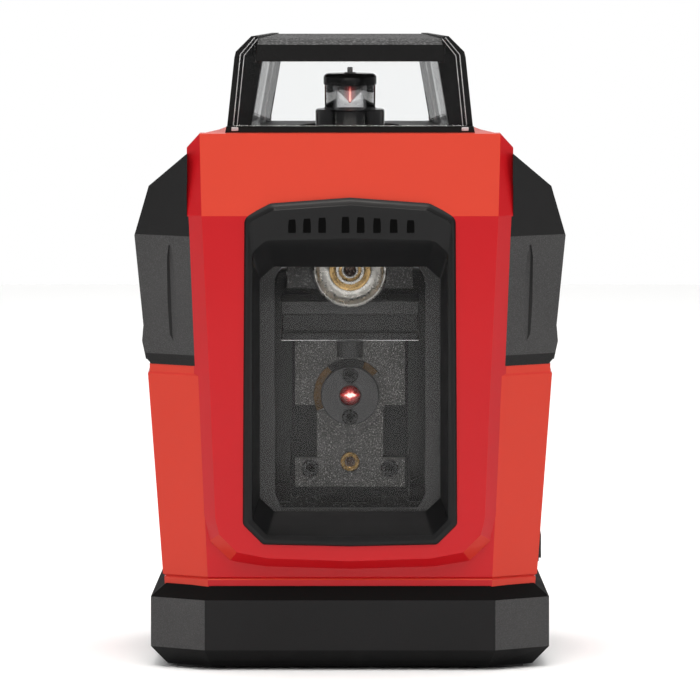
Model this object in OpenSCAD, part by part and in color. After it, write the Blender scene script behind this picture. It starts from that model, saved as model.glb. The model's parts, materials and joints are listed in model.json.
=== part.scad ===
// 360 degree line laser level: self-levelling pendulum in a faceted two-part
// housing, with a cone mirror under a roll cage on top, a front window for the
// vertical line, a transport lock, a keypad and a battery bay.
// Millimetres. +Z up, origin at the centre of the footprint, front faces -Y.

/* [Body] */
// Width of the lower body at the top of its side panels
body_w = 99.4; // [98.6:0.2:100.2]
// Depth of the body, front panel to rear panel
body_d = 84; // [83.6:0.1:84.4]
// Wall thickness of the housing shells
wall = 2.6; // [2.2:0.1:2.8]
// Y of the joint between the front and rear housing
split_y = 6; // [5.5:0.5:8]

/* [Base] */
// Width of the rubber base boot
base_w = 98; // [97.6:0.2:99]
// Depth of the rubber base boot
base_d = 92; // [91.6:0.2:93]
// Height of the boot rim above the ground
base_h = 20.7; // [20.5:0.1:20.9]
// Bore radius of the tripod insert (1/4 inch, 20 threads per inch, minor diameter)
tripod_r = 2.55; // [2.5:0.01:2.65]

/* [Grips] */
// Thickness of the rubber side grips
grip_t = 3; // [2.6:0.1:3.2]

/* [Guard] */
// Height of the whole instrument, ground to guard roof
total_h = 155; // [154.6:0.1:155.4]
// Width of the guard at its foot
guard_w = 60.3; // [59.8:0.1:60.6]
// Thickness of the clear guard panes
pane_t = 1.8; // [1.4:0.1:2]

/* [Pendulum] */
// Height of the gimbal axes above the ground
pivot_z = 97; // [96.8:0.1:97.2]
// Y of the gimbal centre and the cone axis
pivot_y = -10; // [-10.2:0.1:-9.8]
// Radius of the vertical-line laser module
module_r = 7.2; // [6.8:0.1:7.2]
// Outer radius of the glass tube over the cone mirror
tube_r = 6.5; // [6.2:0.1:6.6]
// Gap left between the brake pad and the pendulum foot when locked
brake_gap = 0.3; // [0.25:0.05:0.5]

/* [Lock] */
// Travel of the lock slider
lock_travel = 8; // [6:0.5:8]
// Slope of the lock wedge (lift per millimetre of travel)
lock_slope = 0.2; // [0.18:0.01:0.2]

/* [Battery] */
// Radius of an AA cell
cell_r = 7.1; // [6.9:0.05:7.1]
// Length of an AA cell with its contact nub
cell_l = 50.5; // [49.5:0.1:50.5]

/* [Quality] */
// Segments on round parts
fine = 64; // [48:8:96]

/* [Hidden] */

$fn = fine;
red = [0.80, 0.10, 0.12];
rubber = [0.18, 0.18, 0.19];
black = [0.10, 0.10, 0.10];
cast = [0.30, 0.30, 0.30];
steel = [0.75, 0.75, 0.77];
brass = [0.80, 0.62, 0.28];
clear = [0.85, 0.90, 0.92, 0.35];

hw = body_w / 2;          // half width at the widest part of the side panels
hd = body_d / 2;
dw = hw - 49.7;           // how far the driven width is from its design value
py = pivot_y;
pz = pivot_z;
eps = 0.02;
CG = -0.05;

// ---------------------------------------------------------------- helpers
// A solid through sections [z, [[x, y], ...]], counter-clockwise, equal counts.
module loft(s) {
  n = len(s[0][1]);
  m = len(s);
  pts = [for (k = [0:m - 1]) for (p = s[k][1]) [p[0], p[1], s[k][0]]];
  polyhedron(pts, concat(
    [[for (i = [0:n - 1]) i]],
    [[for (i = [n - 1:-1:0]) (m - 1) * n + i]],
    [for (k = [0:m - 2]) for (i = [0:n - 1])
      [k * n + i, (k + 1) * n + i, (k + 1) * n + (i + 1) % n]],
    [for (k = [0:m - 2]) for (i = [0:n - 1])
      [k * n + i, (k + 1) * n + (i + 1) % n, k * n + (i + 1) % n]]));
}
// The same along Y: sections [y, [[x, z], ...]] from front to back, outlines
// counter-clockwise as seen from the front.
module loft_y(s) rotate([90, 0, 0]) loft([for (k = [len(s) - 1:-1:0]) [-s[k][0], s[k][1]]]);
// A prism along Y from y0 to y1 over an XZ outline.
module prism_y(pts, y0, y1) translate([0, y1, 0]) rotate([90, 0, 0]) linear_extrude(y1 - y0) polygon(pts);
// A prism along X from x0 to x1 over a YZ outline.
module prism_x(pts, x0, x1) translate([x0, 0, 0]) rotate([90, 0, 90]) linear_extrude(x1 - x0) polygon(pts);
module cyl_y(r, y0, y1, x = 0, z = 0) translate([x, y1, z]) rotate([90, 0, 0]) cylinder(h = y1 - y0, r = r);
module cyl_x(r, x0, x1, y = 0, z = 0) translate([x0, y, z]) rotate([0, 90, 0]) cylinder(h = x1 - x0, r = r);
module cyl_z(r, z0, z1, x = 0, y = 0) translate([x, y, z0]) cylinder(h = z1 - z0, r = r);
module box(x0, x1, y0, y1, z0, z1) translate([x0, y0, z0]) cube([x1 - x0, y1 - y0, z1 - z0]);
module both() { children(); mirror([1, 0, 0]) children(); }
module round_box(x0, x1, y0, y1, z0, z1, r) {
  for (x = [x0 + r, x1 - r], y = [y0 + r, y1 - r]) cyl_z(r, z0, z1, x, y);
  box(x0 + r, x1 - r, y0, y1, z0, z1);
  box(x0, x1, y0 + r, y1 - r, z0, z1);
}
// Mirror a right-hand half outline (bottom to top) to a closed one.
function closed(h) = concat(h, [for (i = [len(h) - 1:-1:0]) if (h[i][0] > 0) [-h[i][0], h[i][1]]]);
// Eight-sided plan: side half width w, front corner c at depth f, side corner at s,
// and the same for the rear.
function oct(w, c, f, s, cr, r, sr) =
  [[-c, -f], [c, -f], [w, -s], [w, sr], [cr, r], [-cr, r], [-w, sr], [-w, -s]];

// ---------------------------------------------------------------- body surfaces
deck_z = 131.4;           // level of the deck under the guard
c_lean = 0.0455;
function c_at(z) = 34.8 + c_lean * (z - 20);      // edge between front face and facet
// Level of the body: w half width, f half depth, g grows it, k is the seat depth
// under the grips.
function lv(z, w, f, g = 0, k = 0) =
  let (c = c_at(z), c1 = c - k * 1.744 + g * 0.4, s = f - 0.7 * (w - c) - k * 0.521 + g * 0.3)
  [z, oct(w - k + g, c1, f + g, s, c1, f + g, s)];
function low_levels(g = 0) = [
  [5.5, oct(44.2 + g, 33.4, 40.6 + g, 33.1, 33.4, 40.6 + g, 33.1)],
  lv(16.5, 45.4 + dw, hd - 0.1, g), lv(21.9, 45.7 + dw, hd, g),
  lv(22.25, 45.3 + dw, hd - 0.3, g), lv(22.7, 46.05 + dw, hd + 0.1, g),
  lv(72.1, 49.7 + dw, hd + 0.1, g), lv(72.6, 49.25 + dw, hd - 0.3, g),
  lv(74.5, 49.25 + dw, hd - 0.3, g)];
function up_levels(k = 0) = [
  lv(74.3, 49.9, hd - 0.2, 0, k), lv(80.0, 51.15, hd - 0.2, 0, k), lv(83.9, 50.8, hd - 0.2, 0, k),
  lv(106, 53.0, hd - 0.2, 0, k), lv(117.6, 49.6, hd - 0.2, 0, k), lv(deck_z, 45.6, hd - 0.2, 0, k)];
function cavity_levels() = [
  [5.4, oct(44.2 - wall, 32.4, 40.6 - wall, 32.2, 32.4, 40.6 - wall, 32.2)],
  lv(16.5, 45.4 - wall, hd - wall - 0.1), lv(72.0, 49.3 - wall, hd - wall - 0.3),
  lv(74.4, 49.2 - wall, hd - wall - 0.2, 0, grip_t - 0.6), lv(106, 52.9 - wall, hd - wall - 0.2, 0, grip_t - 0.6),
  lv(117.6, 49.5 - wall, hd - wall - 0.2, 0, grip_t - 0.6), lv(deck_z - wall, 45.8 - wall, hd - wall - 0.2, 0, grip_t - 0.6)];
// The shoulder beside the deck, removed from the right-hand side. It falls to the
// rear. k lowers the part outboard of the nose (the grip seat).
function sh_sec(y, xi, k) = let (d = max(0, y + 41) * 0.06)
  [y, [[xi, deck_z + 0.001 - d], [36.75, deck_z - d], [39.8, 128 - d], [39.82, 126.6 - k - d], [48.9, 119.1 - k - d],
       [54, 114.9 - k - d], [62, 114.9 - k - d], [62, 145], [xi, 145]]];
module shoulder(k = 0, dx = 0, dz = 0) {
  for (m = [0, 1]) mirror([m, 0, 0]) translate([-dx, 0, -dz])
    loft_y([sh_sec(-48, 36.7, k), sh_sec(-40.9, 36.7, k), sh_sec(-20, 32.4, k), sh_sec(14, 28.2, k), sh_sec(48, 27, k)]);
}
// The keypad slope at the rear of the deck.
slope_a = 26;
module on_slope() { translate([0, 34, 127.5]) rotate([-slope_a, 0, 0]) children(); }
module slope_cut(dz = 0) { translate([0, 0, -dz]) on_slope() translate([-60, -8.9 - dz * 0.5, 0]) cube([120, 30, 20]); }
// The raised nose on the front panel.
nose_front = [[0, 26.9], [20, 27.6], [27.7, 29.1], [32.0, 33.4], [32.95, 37.5], [34.1, 66.5], [36.2, 111.5]];
nose_back = [[0, 23.9], [21, 24.5], [29.9, 25.9], [35.3, 31.0], [36.6, 37.5], [37.9, 66.5], [39.85, 111.5]];
module nose(g = 0) {
  f = concat([for (p = nose_front) [p[0] > 0 ? p[0] + g : 0, -45 - g, p[1]]], [[36.75 + g, -41 - g, deck_z], [0, -41 - g, deck_z]]);
  b = concat([for (p = nose_back) [p[0] > 0 ? p[0] + g : 0, -41, p[1]]], [[39.95 + g, -37.6, deck_z], [0, -37.6, deck_z]]);
  d = concat([for (p = nose_back) [p[0] > 0 ? p[0] - 0.1 : 0, -36.5, p[1]]], [[39.85 + g, -33.5, deck_z], [0, -33.5, deck_z]]);
  m = 9;
  q = 16;
  pts = concat(wrap(f), wrap(b), wrap(d));
  polyhedron(pts, concat(
    [[for (i = [q - 1:-1:0]) if (i <= 6 || i >= 10) i]], [[10, 9, 7, 6], [9, 8, 7]],
    [for (k = [0, 1]) for (i = [0:q - 1]) [k * q + i, k * q + (i + 1) % q, (k + 1) * q + (i + 1) % q]],
    [for (k = [0, 1]) for (i = [0:q - 1]) [k * q + i, (k + 1) * q + (i + 1) % q, (k + 1) * q + i]],
    [[for (i = [0:q - 1]) if (i <= 6 || i >= 10) 2 * q + i]], [[2 * q + 6, 2 * q + 7, 2 * q + 9, 2 * q + 10], [2 * q + 7, 2 * q + 8, 2 * q + 9]]));
}
function wrap(a) = concat(a, [for (i = [len(a) - 2:-1:1]) [-a[i][0], a[i][1], a[i][2]]]);

module blank(k) { loft(up_levels(k)); }
module cavity() {
  difference() {
    loft(cavity_levels());
    shoulder(grip_t + 0.8, 2.2, wall + 0.4);
    slope_cut(wall + 0.3);
    box(-60, 60, -60, -39.4, 0, 140);
  }
}
// ---------------------------------------------------------------- window
bezel_pts = [[0, 30.4], [21.4, 30.85], [26.35, 35.8], [25.9, 111.3], [19.4, 114.6], [0, 116.0]];
function inset2(p, a, z0, z1) = [for (q = p) [q[0] > 0 ? q[0] - a : 0, q[1] < 70 ? q[1] + z0 : q[1] - z1]];
funnel_front = [[0, 33.1], [20.2, 33.3], [23.9, 37.2], [23.9, 102.6], [20.4, 105.7], [0, 106.2]];
funnel_back = [[0, 38.3], [18.6, 38.3], [22.2, 41.6], [22.2, 95.5], [18.7, 98.6], [0, 98.6]];
neck_front = [[0, 31.4], [21.0, 31.7], [25.6, 36.3], [25.3, 107.6], [21.2, 110.0], [0, 110.4]];
neck_back = [[0, 35.4], [20.0, 35.4], [24.0, 39.4], [24.0, 98.0], [20.2, 101.6], [0, 101.6]];
pane_o = [[0, 33.0], [21.8, 33.0], [25.8, 37.0], [25.8, 99.2], [22.0, 103.2], [0, 103.2]];

// ---------------------------------------------------------------- housing
boss_low = [[40.2, 44], [41.6, 66]];
boss_top = [29.6, 117];
guard_holes = [[27.3, -31.4], [22.4, 8.2]];
module housing_bosses(y0, y1, r) {
  both() {
    for (b = boss_low) cyl_y(r, y0, y1, b[0], b[1]);
    cyl_y(r, y0, y1, boss_top[0], boss_top[1]);
    box(boss_top[0] - 1.2, boss_top[0] + 1.2, y0, y1, boss_top[1], 127);
    for (b = boss_low) box(b[0], 46.5, y0, y1, b[1] - 1, b[1] + 1);
  }
}
module housing_solid() {
  difference() {
    union() { loft(low_levels()); blank(grip_t); top_red(); nose(); }
    shoulder(0);
    seat_cut();
    slope_cut();
    corner_cut();
    // the deck falls slightly behind the guard
    loft_y([[13.1, [[-45, deck_z - 0.01], [45, deck_z - 0.01], [45, 150], [-45, 150]]], [60, [[-45, deck_z - 2.9], [45, deck_z - 2.9], [45, 150], [-45, 150]]]]);
  }
}
// The top corners beside the nose fall back to its leaning side bevels.
module corner_cut() both() loft([
  [111.6, [[36.2 + CG, -45 - CG], [43, -50], [43, -41], [39.86 + CG, -41]]],
  [135, [[36.85 + CG, -40.3 - CG], [43, -46], [43, -37.02], [39.97 + CG, -37.02]]]]);
// Everything inboard of the grips keeps the full outline.
module top_red() { intersection() { blank(0); box(-39.8, 39.8, -hd, hd, 118, deck_z); } }
module seat_cut() {
  both() difference() {
    translate([0, 0, 0]) intersection() { loft_y([sh_sec(-48, 36.7, 3.85), sh_sec(48, 27, 3.85)]); box(39.81, 60, -60, 60, 90, 140); }
  }
}
module base_boss(y) both() { cyl_z(3.4, 8.35, 19, 32.5, y); box(32.5, 43.6, y - 1.2, y + 1.2, 8.35, 19); }
module lock_slot() {
  box(40, 60, py - 3.4, py + 3.4 + lock_travel, 22.9, 26.9);
  box(44.5, 60, py - 7.5, py + 7.5 + lock_travel, 23.4, 31.8);
}
module front_housing() color(red) {
  difference() {
    union() {
      intersection() {
        difference() { housing_solid(); cavity(); }
        box(-60, 60, -60, split_y, 5.5, 140);
      }
      intersection() {
        union() {
          housing_bosses(-8, split_y, 3.5);
          both() { for (z = [31, 109]) cyl_y(3.4, -40, -33.9, 29.5, z); }
          base_boss(-24);
        }
        housing_solid();
      }
    }
    loft_y([[-43.1, closed(grow(neck_front, 0.12))], [-36.6, closed(grow(neck_back, 0.12))]]);
    prism_y(closed(grow(bezel_pts, 0.05)), -60, -43);
    cyl_z(12.6, 120, 140, 0, py);
    both() {
      for (b = boss_low) cyl_y(1.25, -7, split_y + 1, b[0], b[1]);
      cyl_y(1.25, -7, split_y + 1, boss_top[0], boss_top[1]);
      for (z = [31, 109]) cyl_y(1.25, -39, -20, 29.5, z);
      cyl_z(1.6, 5, 16, 32.5, -24);
      for (h = guard_holes) if (h[1] < split_y) cyl_z(1.5, 120, 140, h[0], h[1]);
    }
    lock_slot();
  }
}
module rear_housing() color(red) {
  difference() {
    union() {
      intersection() {
        difference() { housing_solid(); cavity(); }
        box(-60, 60, split_y, 60, 5.5, 140);
      }
      intersection() {
        union() {
          housing_bosses(split_y, 40, 4.4);
          both() { cyl_y(2.6, 20.3, 40, 24, 106.5); cyl_y(2.6, 18.7, 40, 24.4, 79); }
          base_boss(24);
        }
        housing_solid();
      }
    }
    both() {
      for (b = concat(boss_low, [boss_top])) {
        cyl_y(1.6, split_y - 1, 20, b[0], b[1]);
        cyl_y(3.1, 16, 60, b[0], b[1]);
      }
      cyl_z(1.6, 5, 16, 32.5, 24);
      for (h = guard_holes) if (h[1] > split_y) cyl_z(1.5, 118, 140, h[0], h[1]);
    }
    lock_slot();
    // battery opening, door recess and hinge relief
    box(-28.8, 28.8, 36, 60, 28.2, 70.4);
    box(-31.6, 31.6, 39.85, 60, 23.1, 71.75);
    cyl_x(2.6, -31.6, 31.6, hinge_y, hinge_z);
    cyl_x(pin_r + 0.01, -34.5, 34.5, hinge_y, hinge_z);
    // keypad pocket and button wells
    on_slope() {
      box(-19.1, 19.1, -6.1, 6.1, -0.7, 5);
      for (x = [-9.5, 9.5]) cyl_z(5.7, -8, 1, x, 0);
      cyl_z(1.5, -8, 1, 0, 2.6);
      for (x = [-17.2, 17.2]) cyl_z(1.1, -8, 1, x, 0);
    }
  }
}
hinge_y = 41.3;
hinge_z = 24.8;
pin_r = 0.8;
module housing_screws() color(steel) both() for (b = concat(boss_low, [boss_top])) {
  difference() {
    union() { cyl_y(1.25, -5, 16.05, b[0], b[1]); cyl_y(2.7, 16.02, 18.2, b[0], b[1]); }
    translate([b[0], 18.3, b[1]]) rotate([90, 0, 0]) cylinder(h = 1.4, r = 1.25, $fn = 6);
  }
}
// ---------------------------------------------------------------- grips
module grip_right() {
  difference() {
    intersection() { blank(0); box(30, 60, -hd - 1, hd + 1, 74.52, 130); }
    shoulder(0);
    difference() {
      blank(grip_t);
      seat_cut();
    }
    nose(0.03);
    box(-60, 39.83, -60, 60, 117.97, 140);
    box(30, 39.93, -60, -34, 111.4, 119);
    // shallow V groove on each facet, widening downward
    for (m = [0, 1]) mirror([0, m, 0]) vgroove();
    // chamfer along the lower edge
    for (m = [0, 1]) mirror([0, m, 0]) translate([hw + 0.3, 0, 74.4]) rotate([0, 45, 0]) translate([-0.9, -60, -0.9]) cube([1.8, 120, 1.8]);
  }
}
module vgroove() {
  loft([
    [80.3, vg(43.2, 0.5)], [82.0, vg(43.2, 1.45)], [101, vg(44.1, 0.75)], [104, vg(44.25, 0.2)]]);
}
function vg(x, w) = let (y = -hd + 0.2 + 0.7 * (x - 38.0) )
  [[x - w, y - 0.7 * w - 2], [x + w, y + 0.7 * w - 2], [x + w, y + 0.7 * w], [x + 0.25 * w, y + 0.525 * w + 0.15], [x - w, y - 0.7 * w]];
module side_grip_right() color(rubber) grip_right();
module side_grip_left() color(rubber) mirror([1, 0, 0]) grip_right();

// ---------------------------------------------------------------- base
module base_boot() color(rubber) difference() {
  loft([
    [0.6, bo(-4.1)], [5.0, bo(0)], [17.3, bo(0)], [base_h - 0.25, bo(-3.7)]]);
  // seat of the housing skirt
  loft([[5.48, oct(44.25, 33.45, 40.65, 33.15, 33.45, 40.65, 33.15)],
    lv(16.5, 45.45 + dw, hd - 0.05), lv(21.9, 45.75 + dw, hd + 0.05)]);
  loft([[-1, oct(36.5, 27.5, 32.5, 26.2, 27.5, 32.5, 26.2)], [6, oct(36.5, 27.5, 32.5, 26.2, 27.5, 32.5, 26.2)]]);
  for (x = [-36.6, 36.6], y = [-33, 33]) foot_shape(x, y, -1, 2.6);
}
// Plan of the boot: the sides close in slightly to the rear.
function bo(g) = let (w = base_w / 2 + g, c = 35.6 + g * 0.42, f = base_d / 2 + g, k = 36.6 + g * 0.42)
  [[-c, -f], [c, -f], [w, -k], [w - 1.6, k], [c - 1.2, f], [1.2 - c, f], [1.6 - w, k], [-w, -k]];
module foot_shape(x, y, z0, z1) intersection() {
  box(x - 6, x + 6, y - 5.2, y + 5.2, z0, z1);
  loft([[z0 - 1, bo(-4.6)], [z1 + 1, bo(-4.6)]]);
}
module rubber_feet() color(rubber) for (x = [-36.6, 36.6], y = [-33, 33]) foot_shape(x, y, 0, 2.6);
module base_plate() color(steel) difference() {
  union() {
    loft([[5.5, oct(41.3, 31.0, 37.7, 30.8, 31.0, 37.7, 30.8)], [8.3, oct(41.3, 31.0, 37.7, 30.8, 31.0, 37.7, 30.8)]]);
    cyl_z(17, 0.9, 6, 0, 0);
  }
  cyl_z(7.2, 0, 10, 0, 0);
  for (x = [-32.5, 32.5], y = [-24, 24]) cyl_z(1.6, 0, 12, x, y);
}
module tripod_insert() color(brass) difference() {
  union() { cyl_z(7.2, 0.9, 13.5, 0, 0); cyl_z(9.2, 8.3, 10.3, 0, 0); }
  cyl_z(tripod_r, -1, 12.0, 0, 0);
}
module base_screws() color(steel) for (x = [-32.5, 32.5], y = [-24, 24]) difference() {
  union() { cyl_z(1.6, 5.5, 15, x, y); cyl_z(2.9, 3.6, 5.5, x, y); }
  translate([x, y, 3.5]) cylinder(h = 1.3, r = 1.3, $fn = 6);
}
// ---------------------------------------------------------------- window parts
module window_bezel() color(black) { bezel_body(); brow_bars(); }
module bezel_body() difference() {
  union() {
    loft_y([[-45.85, closed(inset2(bezel_pts, 0.5, 0.5, 0.5))], [-45.3, closed(bezel_pts)], [-43.0, closed(bezel_pts)]]);
    loft_y([[-43.1, closed(neck_front)], [-36.6, closed(neck_back)]]);
  }
  loft_y([[-46.5, closed(grow(funnel_front, 0.5))], [-45.1, closed(funnel_front)], [-36.7, closed(funnel_back)], [-36.0, closed(funnel_back)]]);
  prism_y(closed(brow), -46.5, -45.1);
}
function grow(p, a) = [for (q = p) [q[0] > 0 ? q[0] + a : 0, q[1] < 70 ? q[1] - a : q[1] + a]];
brow = [[0, 105.6], [20.5, 105.2], [23.9, 102.2], [24.3, 109.9], [18.8, 112.7], [0, 114.0]];
// Raised plain bars on the brow, standing in a row.
module brow_bars() for (x = [-14.15, -10.5, -6.8, -1.1, 2.6, 6.6, 10.65, 14.8])
  round_bar(x, 1.9, 107.3, 111.9);
module round_bar(x, w, z0, z1) box(x - w / 2, x + w / 2, -45.5, -45.05, z0, z1);
module window_pane() color(clear) prism_y(closed(pane_o), -36.58, -34.6);
module window_gasket() color(black) difference() {
  prism_y(closed(grow(pane_o, 0.0)), -34.58, -33.9);
  prism_y(closed(grow(pane_o, -3.2)), -40, -30);
}
module window_retainer() color(rubber) difference() {
  union() {
    prism_y(closed(grow(pane_o, 0.6)), -33.88, -30.4);
    both() { box(20, 32.8, -33.88, -30.4, 27.6, 36); box(20, 32.8, -33.88, -30.4, 100, 112.4); }
  }
  prism_y(closed([for (q = funnel_back) [q[0] > 19 ? 18.5 : (q[0] > 0 ? 16.8 : 0), q[1] < 70 ? q[1] + 0.4 : q[1] - 0.3]]), -40, -30);
  both() for (z = [31, 109]) cyl_y(1.5, -60, -20, 29.5, z);
}
// ---------------------------------------------------------------- guard
g_front = -34;
g_rear = 11;
conv = 0.105;             // how fast the guard narrows to the rear
function gx(x, y) = x - conv * (y - g_front);
gscale = guard_w - 60.3;
function g_out(y, t) = [[gx(30.15 + gscale / 2, y), 132.9], [gx(28.35, y), 149.8], [gx(28.0, y), 151.2], [gx(24.2, y), total_h + t]];
function g_in(y, e, z0, z1) = [[gx(24.3 + e + (132.9 - z0) * 0.173, y), z0], [gx(24.3 + e - (z1 - 132.9) * 0.173, y), z1]];
function mirrored(p) = concat(p, [for (i = [len(p) - 1:-1:0]) [-p[i][0], p[i][1]]]);
side_t = 1.6;
module guard_frame() color(black) difference() {
  union() {
    loft_y([[g_front, mirrored(g_out(g_front, 0))], [g_rear, mirrored(g_out(g_rear, -0.9))]]);
    // foot flange and floor
    loft_xy(deck_z + 0.01, deck_z + 1.6, 30.6, -36.2, 25.9, 12.2);
    // roof lip over the front pane
    loft_y([[-36.1, [[-23.1, 149.0], [23.1, 149.0], [22.7, 153.0], [-22.7, 153.0]]], [-33, [[-23.1, 149.0], [23.1, 149.0], [22.4, 154.0], [-22.4, 154.0]]]]);
  }
  // inside
  loft_y([[-32.2, mirrored(g_in(-32.2, side_t, deck_z + 0.6, 148.8))], [g_rear - 1.0, mirrored(g_in(g_rear - 1.0, side_t, deck_z + 0.6, 148.8))]]);
  loft_y([[-34.1, mirrored(g_in(-34.1, 0, deck_z + 1.5, 148.8))], [-31, mirrored(g_in(-31, 0, deck_z + 1.5, 148.8))]]);
  loft_y([[g_rear - 1.5, mirrored(g_in(g_rear - 1.5, 0.2, deck_z + 0.6, 148.8))], [14, mirrored(g_in(14, 0.2, deck_z + 0.6, 148.8))]]);
  // side windows
  both() loft_y([[-28.6, [[18, 133.6], [40, 133.6], [40, 148.2], [18, 148.2]]], [4.6, [[14, 133.6], [40, 133.6], [40, 148.2], [14, 148.2]]]]);
  // top trough between the side arches
  loft_y([[-37, trough(-37, 153.1)], [-31, trough(-31, 154.3)], [8.4, trough(8.4, 153.95)], [13, trough(13, 152.4)]]);
  cyl_z(12.6, 120, 136, 0, py);
  both() for (h = guard_holes) cyl_z(1.25, 120, 141, h[0], h[1]);
}
function trough(y, z) = [[-gx(22.7, y), z], [gx(22.7, y), z], [gx(21.9, y), 160], [-gx(21.9, y), 160]];
module loft_xy(z0, z1, w0, y0, w1, y1)
  loft([[z0, [[-w0, y0], [w0, y0], [w1, y1], [-w1, y1]]], [z1, [[-w0 + 0.3, y0 + 0.2], [w0 - 0.3, y0 + 0.2], [w1 - 0.3, y1 - 0.2], [-w1 + 0.3, y1 - 0.2]]]]);
pane_front = [[28.55, 133.05], [26.85, 150.6], [23.3, 155.0], [23.15, 148.75]];
module guard_pane_front() color(clear) prism_y(mirrored(pane_front), g_front - 0.02 - pane_t, g_front - 0.02);
module guard_pane_rear() color(clear) difference() {
  prism_y(mirrored([for (p = g_in(g_rear - 1.05, side_t - 0.05, deck_z + 0.7, 148.75)) p]), g_rear - 2.8, g_rear - 1.05);
  both() box(guard_holes[1][0] - 1.4, 40, -20, 20, 120, 139.3);
}
module side_pane() difference() {
  loft_y([[-32.15, mirrored(g_in(-32.15, side_t - 0.05, deck_z + 0.7, 148.75))], [g_rear - 2.85, mirrored(g_in(g_rear - 2.85, side_t - 0.05, deck_z + 0.7, 148.75))]]);
  loft_y([[-40, mirrored(g_in(-40, 0, deck_z + 0.4, 149))], [20, mirrored(g_in(20, 0, deck_z + 0.4, 149))]]);
  box(-60, 0, -60, 60, 120, 160);
  box(0, 60, guard_holes[1][1] - 1.4, 60, 120, 139.3);
}
module guard_pane_right() color(clear) side_pane();
module guard_pane_left() color(clear) mirror([1, 0, 0]) side_pane();
module guard_screws() color(steel) both() for (h = guard_holes) difference() {
  union() { cyl_z(1.25, 120, 139, h[0], h[1]); cyl_z(2.4, 118.6, 120.6, h[0], h[1]); }
  translate([h[0], h[1], 118.5]) cylinder(h = 1.2, r = 1.15, $fn = 6);
}

// ---------------------------------------------------------------- chassis
post_x = 18.9;            // inner face of the side posts
module chassis() color(cast) difference() {
  union() {
    both() {
      box(post_x, 24.5, py - 8, py + 8, 29, 106);
      box(post_x, 26.5, py - 4.5, py + 18, 101, 112);
      // arms to the front fixing points
      for (z = [31, 109]) {
        box(20, 32.6, -20.5, -17.6, z - 3.4, z + 3.4);
        cyl_y(3.4, -30.38, -17.6, 29.5, z);
      }
      box(post_x, 24.5, -20.5, py - 4, 100, 112.4);
    }
    box(-24.5, 24.5, py - 8, py + 8, 29, 32);
    box(-26.5, 26.5, 5.5, 8, 108.5, 112);
    cyl_z(5.2, 29, 33, 0, py);
    // magnet carrier behind the pendulum foot
    box(-24.5, 24.5, py + 8, 12.5, 29, 32);
    box(-15, 15, 9.8, 12.5, 31, 52);
    both() box(15, 24.5, 9.8, 12.5, 29, 36);
    // board posts
    both() for (z = [44, 106.5]) cyl_y(2.6, 7, 17, 24, z);
    both() box(21.5, 24.5, py + 6, 9.5, 40, 48);
  }
  both() { cyl_x(3.6, post_x - 1, 22.2, py, pz); cyl_x(1.6, 20, 30, py, pz); }
  cyl_z(3.05, 20, 40, 0, py);
  both() {
    for (z = [31, 109]) cyl_y(1.5, -34, -10, 29.5, z);
    for (z = [44, 106.5]) cyl_y(1.0, 11, 18, 24, z);
    cyl_y(4.01, 9, 11, 8, 43);
  }
}
module chassis_screws() color(steel) both() {
  for (z = [31, 109]) difference() {
    union() { cyl_y(1.25, -38.5, -17.6, 29.5, z); cyl_y(2.7, -17.6, -15.6, 29.5, z); }
    translate([29.5, -15.5, z]) rotate([90, 0, 0]) cylinder(h = 1.3, r = 1.25, $fn = 6);
  }
  for (z = [44, 106.5]) { cyl_y(1.0, 12, 18.6, 24, z); cyl_y(2.0, 18.6, 20.0, 24, z); }
}
module pitch_bearings() color(steel) both() difference() {
  union() { cyl_x(3.58, post_x, 22.1, py, pz); cyl_x(4.1, post_x - 0.35, post_x - 0.02, py, pz); }
  cyl_x(1.5, 10, 30, py, pz);
}
module damping_magnets() color(steel) both() cyl_y(4.0, 7.6, 11, 8, 43);

// ---------------------------------------------------------------- boards
module main_board() color([0.1, 0.35, 0.18]) difference() {
  union() { box(-27, 27, 17.02, 18.58, 40, 110); box(-14, 14, 17.02, 18.58, 38, 41); }
  both() for (z = [44, 106.5]) cyl_y(1.2, 10, 30, 24, z);
}
module board_components() color(black) {
  box(-9, 3, 18.6, 20.2, 88, 100);
  box(8, 15, 18.6, 20.0, 92, 97);
  box(-20, -13, 18.6, 19.8, 82, 87);
  box(-6, 8, 18.6, 22.2, 76.5, 82);
  for (x = [14, 19]) cyl_y(2.4, 18.6, 23.5, x, 83);
  for (i = [0:4]) box(-22 + i * 3, -20.4 + i * 3, 18.6, 19.2, 93, 93.9);
  box(-20, -10, 18.6, 21.2, 102, 107);
}
module keypad_board() color([0.1, 0.35, 0.18]) on_slope() difference() {
  union() {
    box(-18.8, 18.8, -5.4, 5.2, -6.6, -5.2);
    for (x = [-9.5, 9.5]) { box(x - 2.6, x + 2.6, -2.6, 2.6, -5.2, -4.0); cyl_z(1.4, -4.1, -3.3, x, 0); }
    box(-1.1, 1.1, 1.5, 3.7, -5.2, -4.4);
  }
  for (x = [-17.2, 17.2]) cyl_z(1.0, -8, -4, x, 0);
}
module control_panel() color(black) on_slope() difference() {
  union() { box(-19, 19, -6, 6, -0.68, 0.7); for (x = [-17.2, 17.2]) cyl_z(0.98, -7.4, -0.6, x, 0); }
  for (x = [-9.5, 9.5]) cyl_z(4.5, -2, 3, x, 0);
  cyl_z(1.3, -2, 3, 0, 2.6);
}
module status_lens() color([0.3, 0.8, 0.4]) on_slope() { cyl_z(1.27, -3.6, 0.85, 0, 2.6); }

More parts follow.
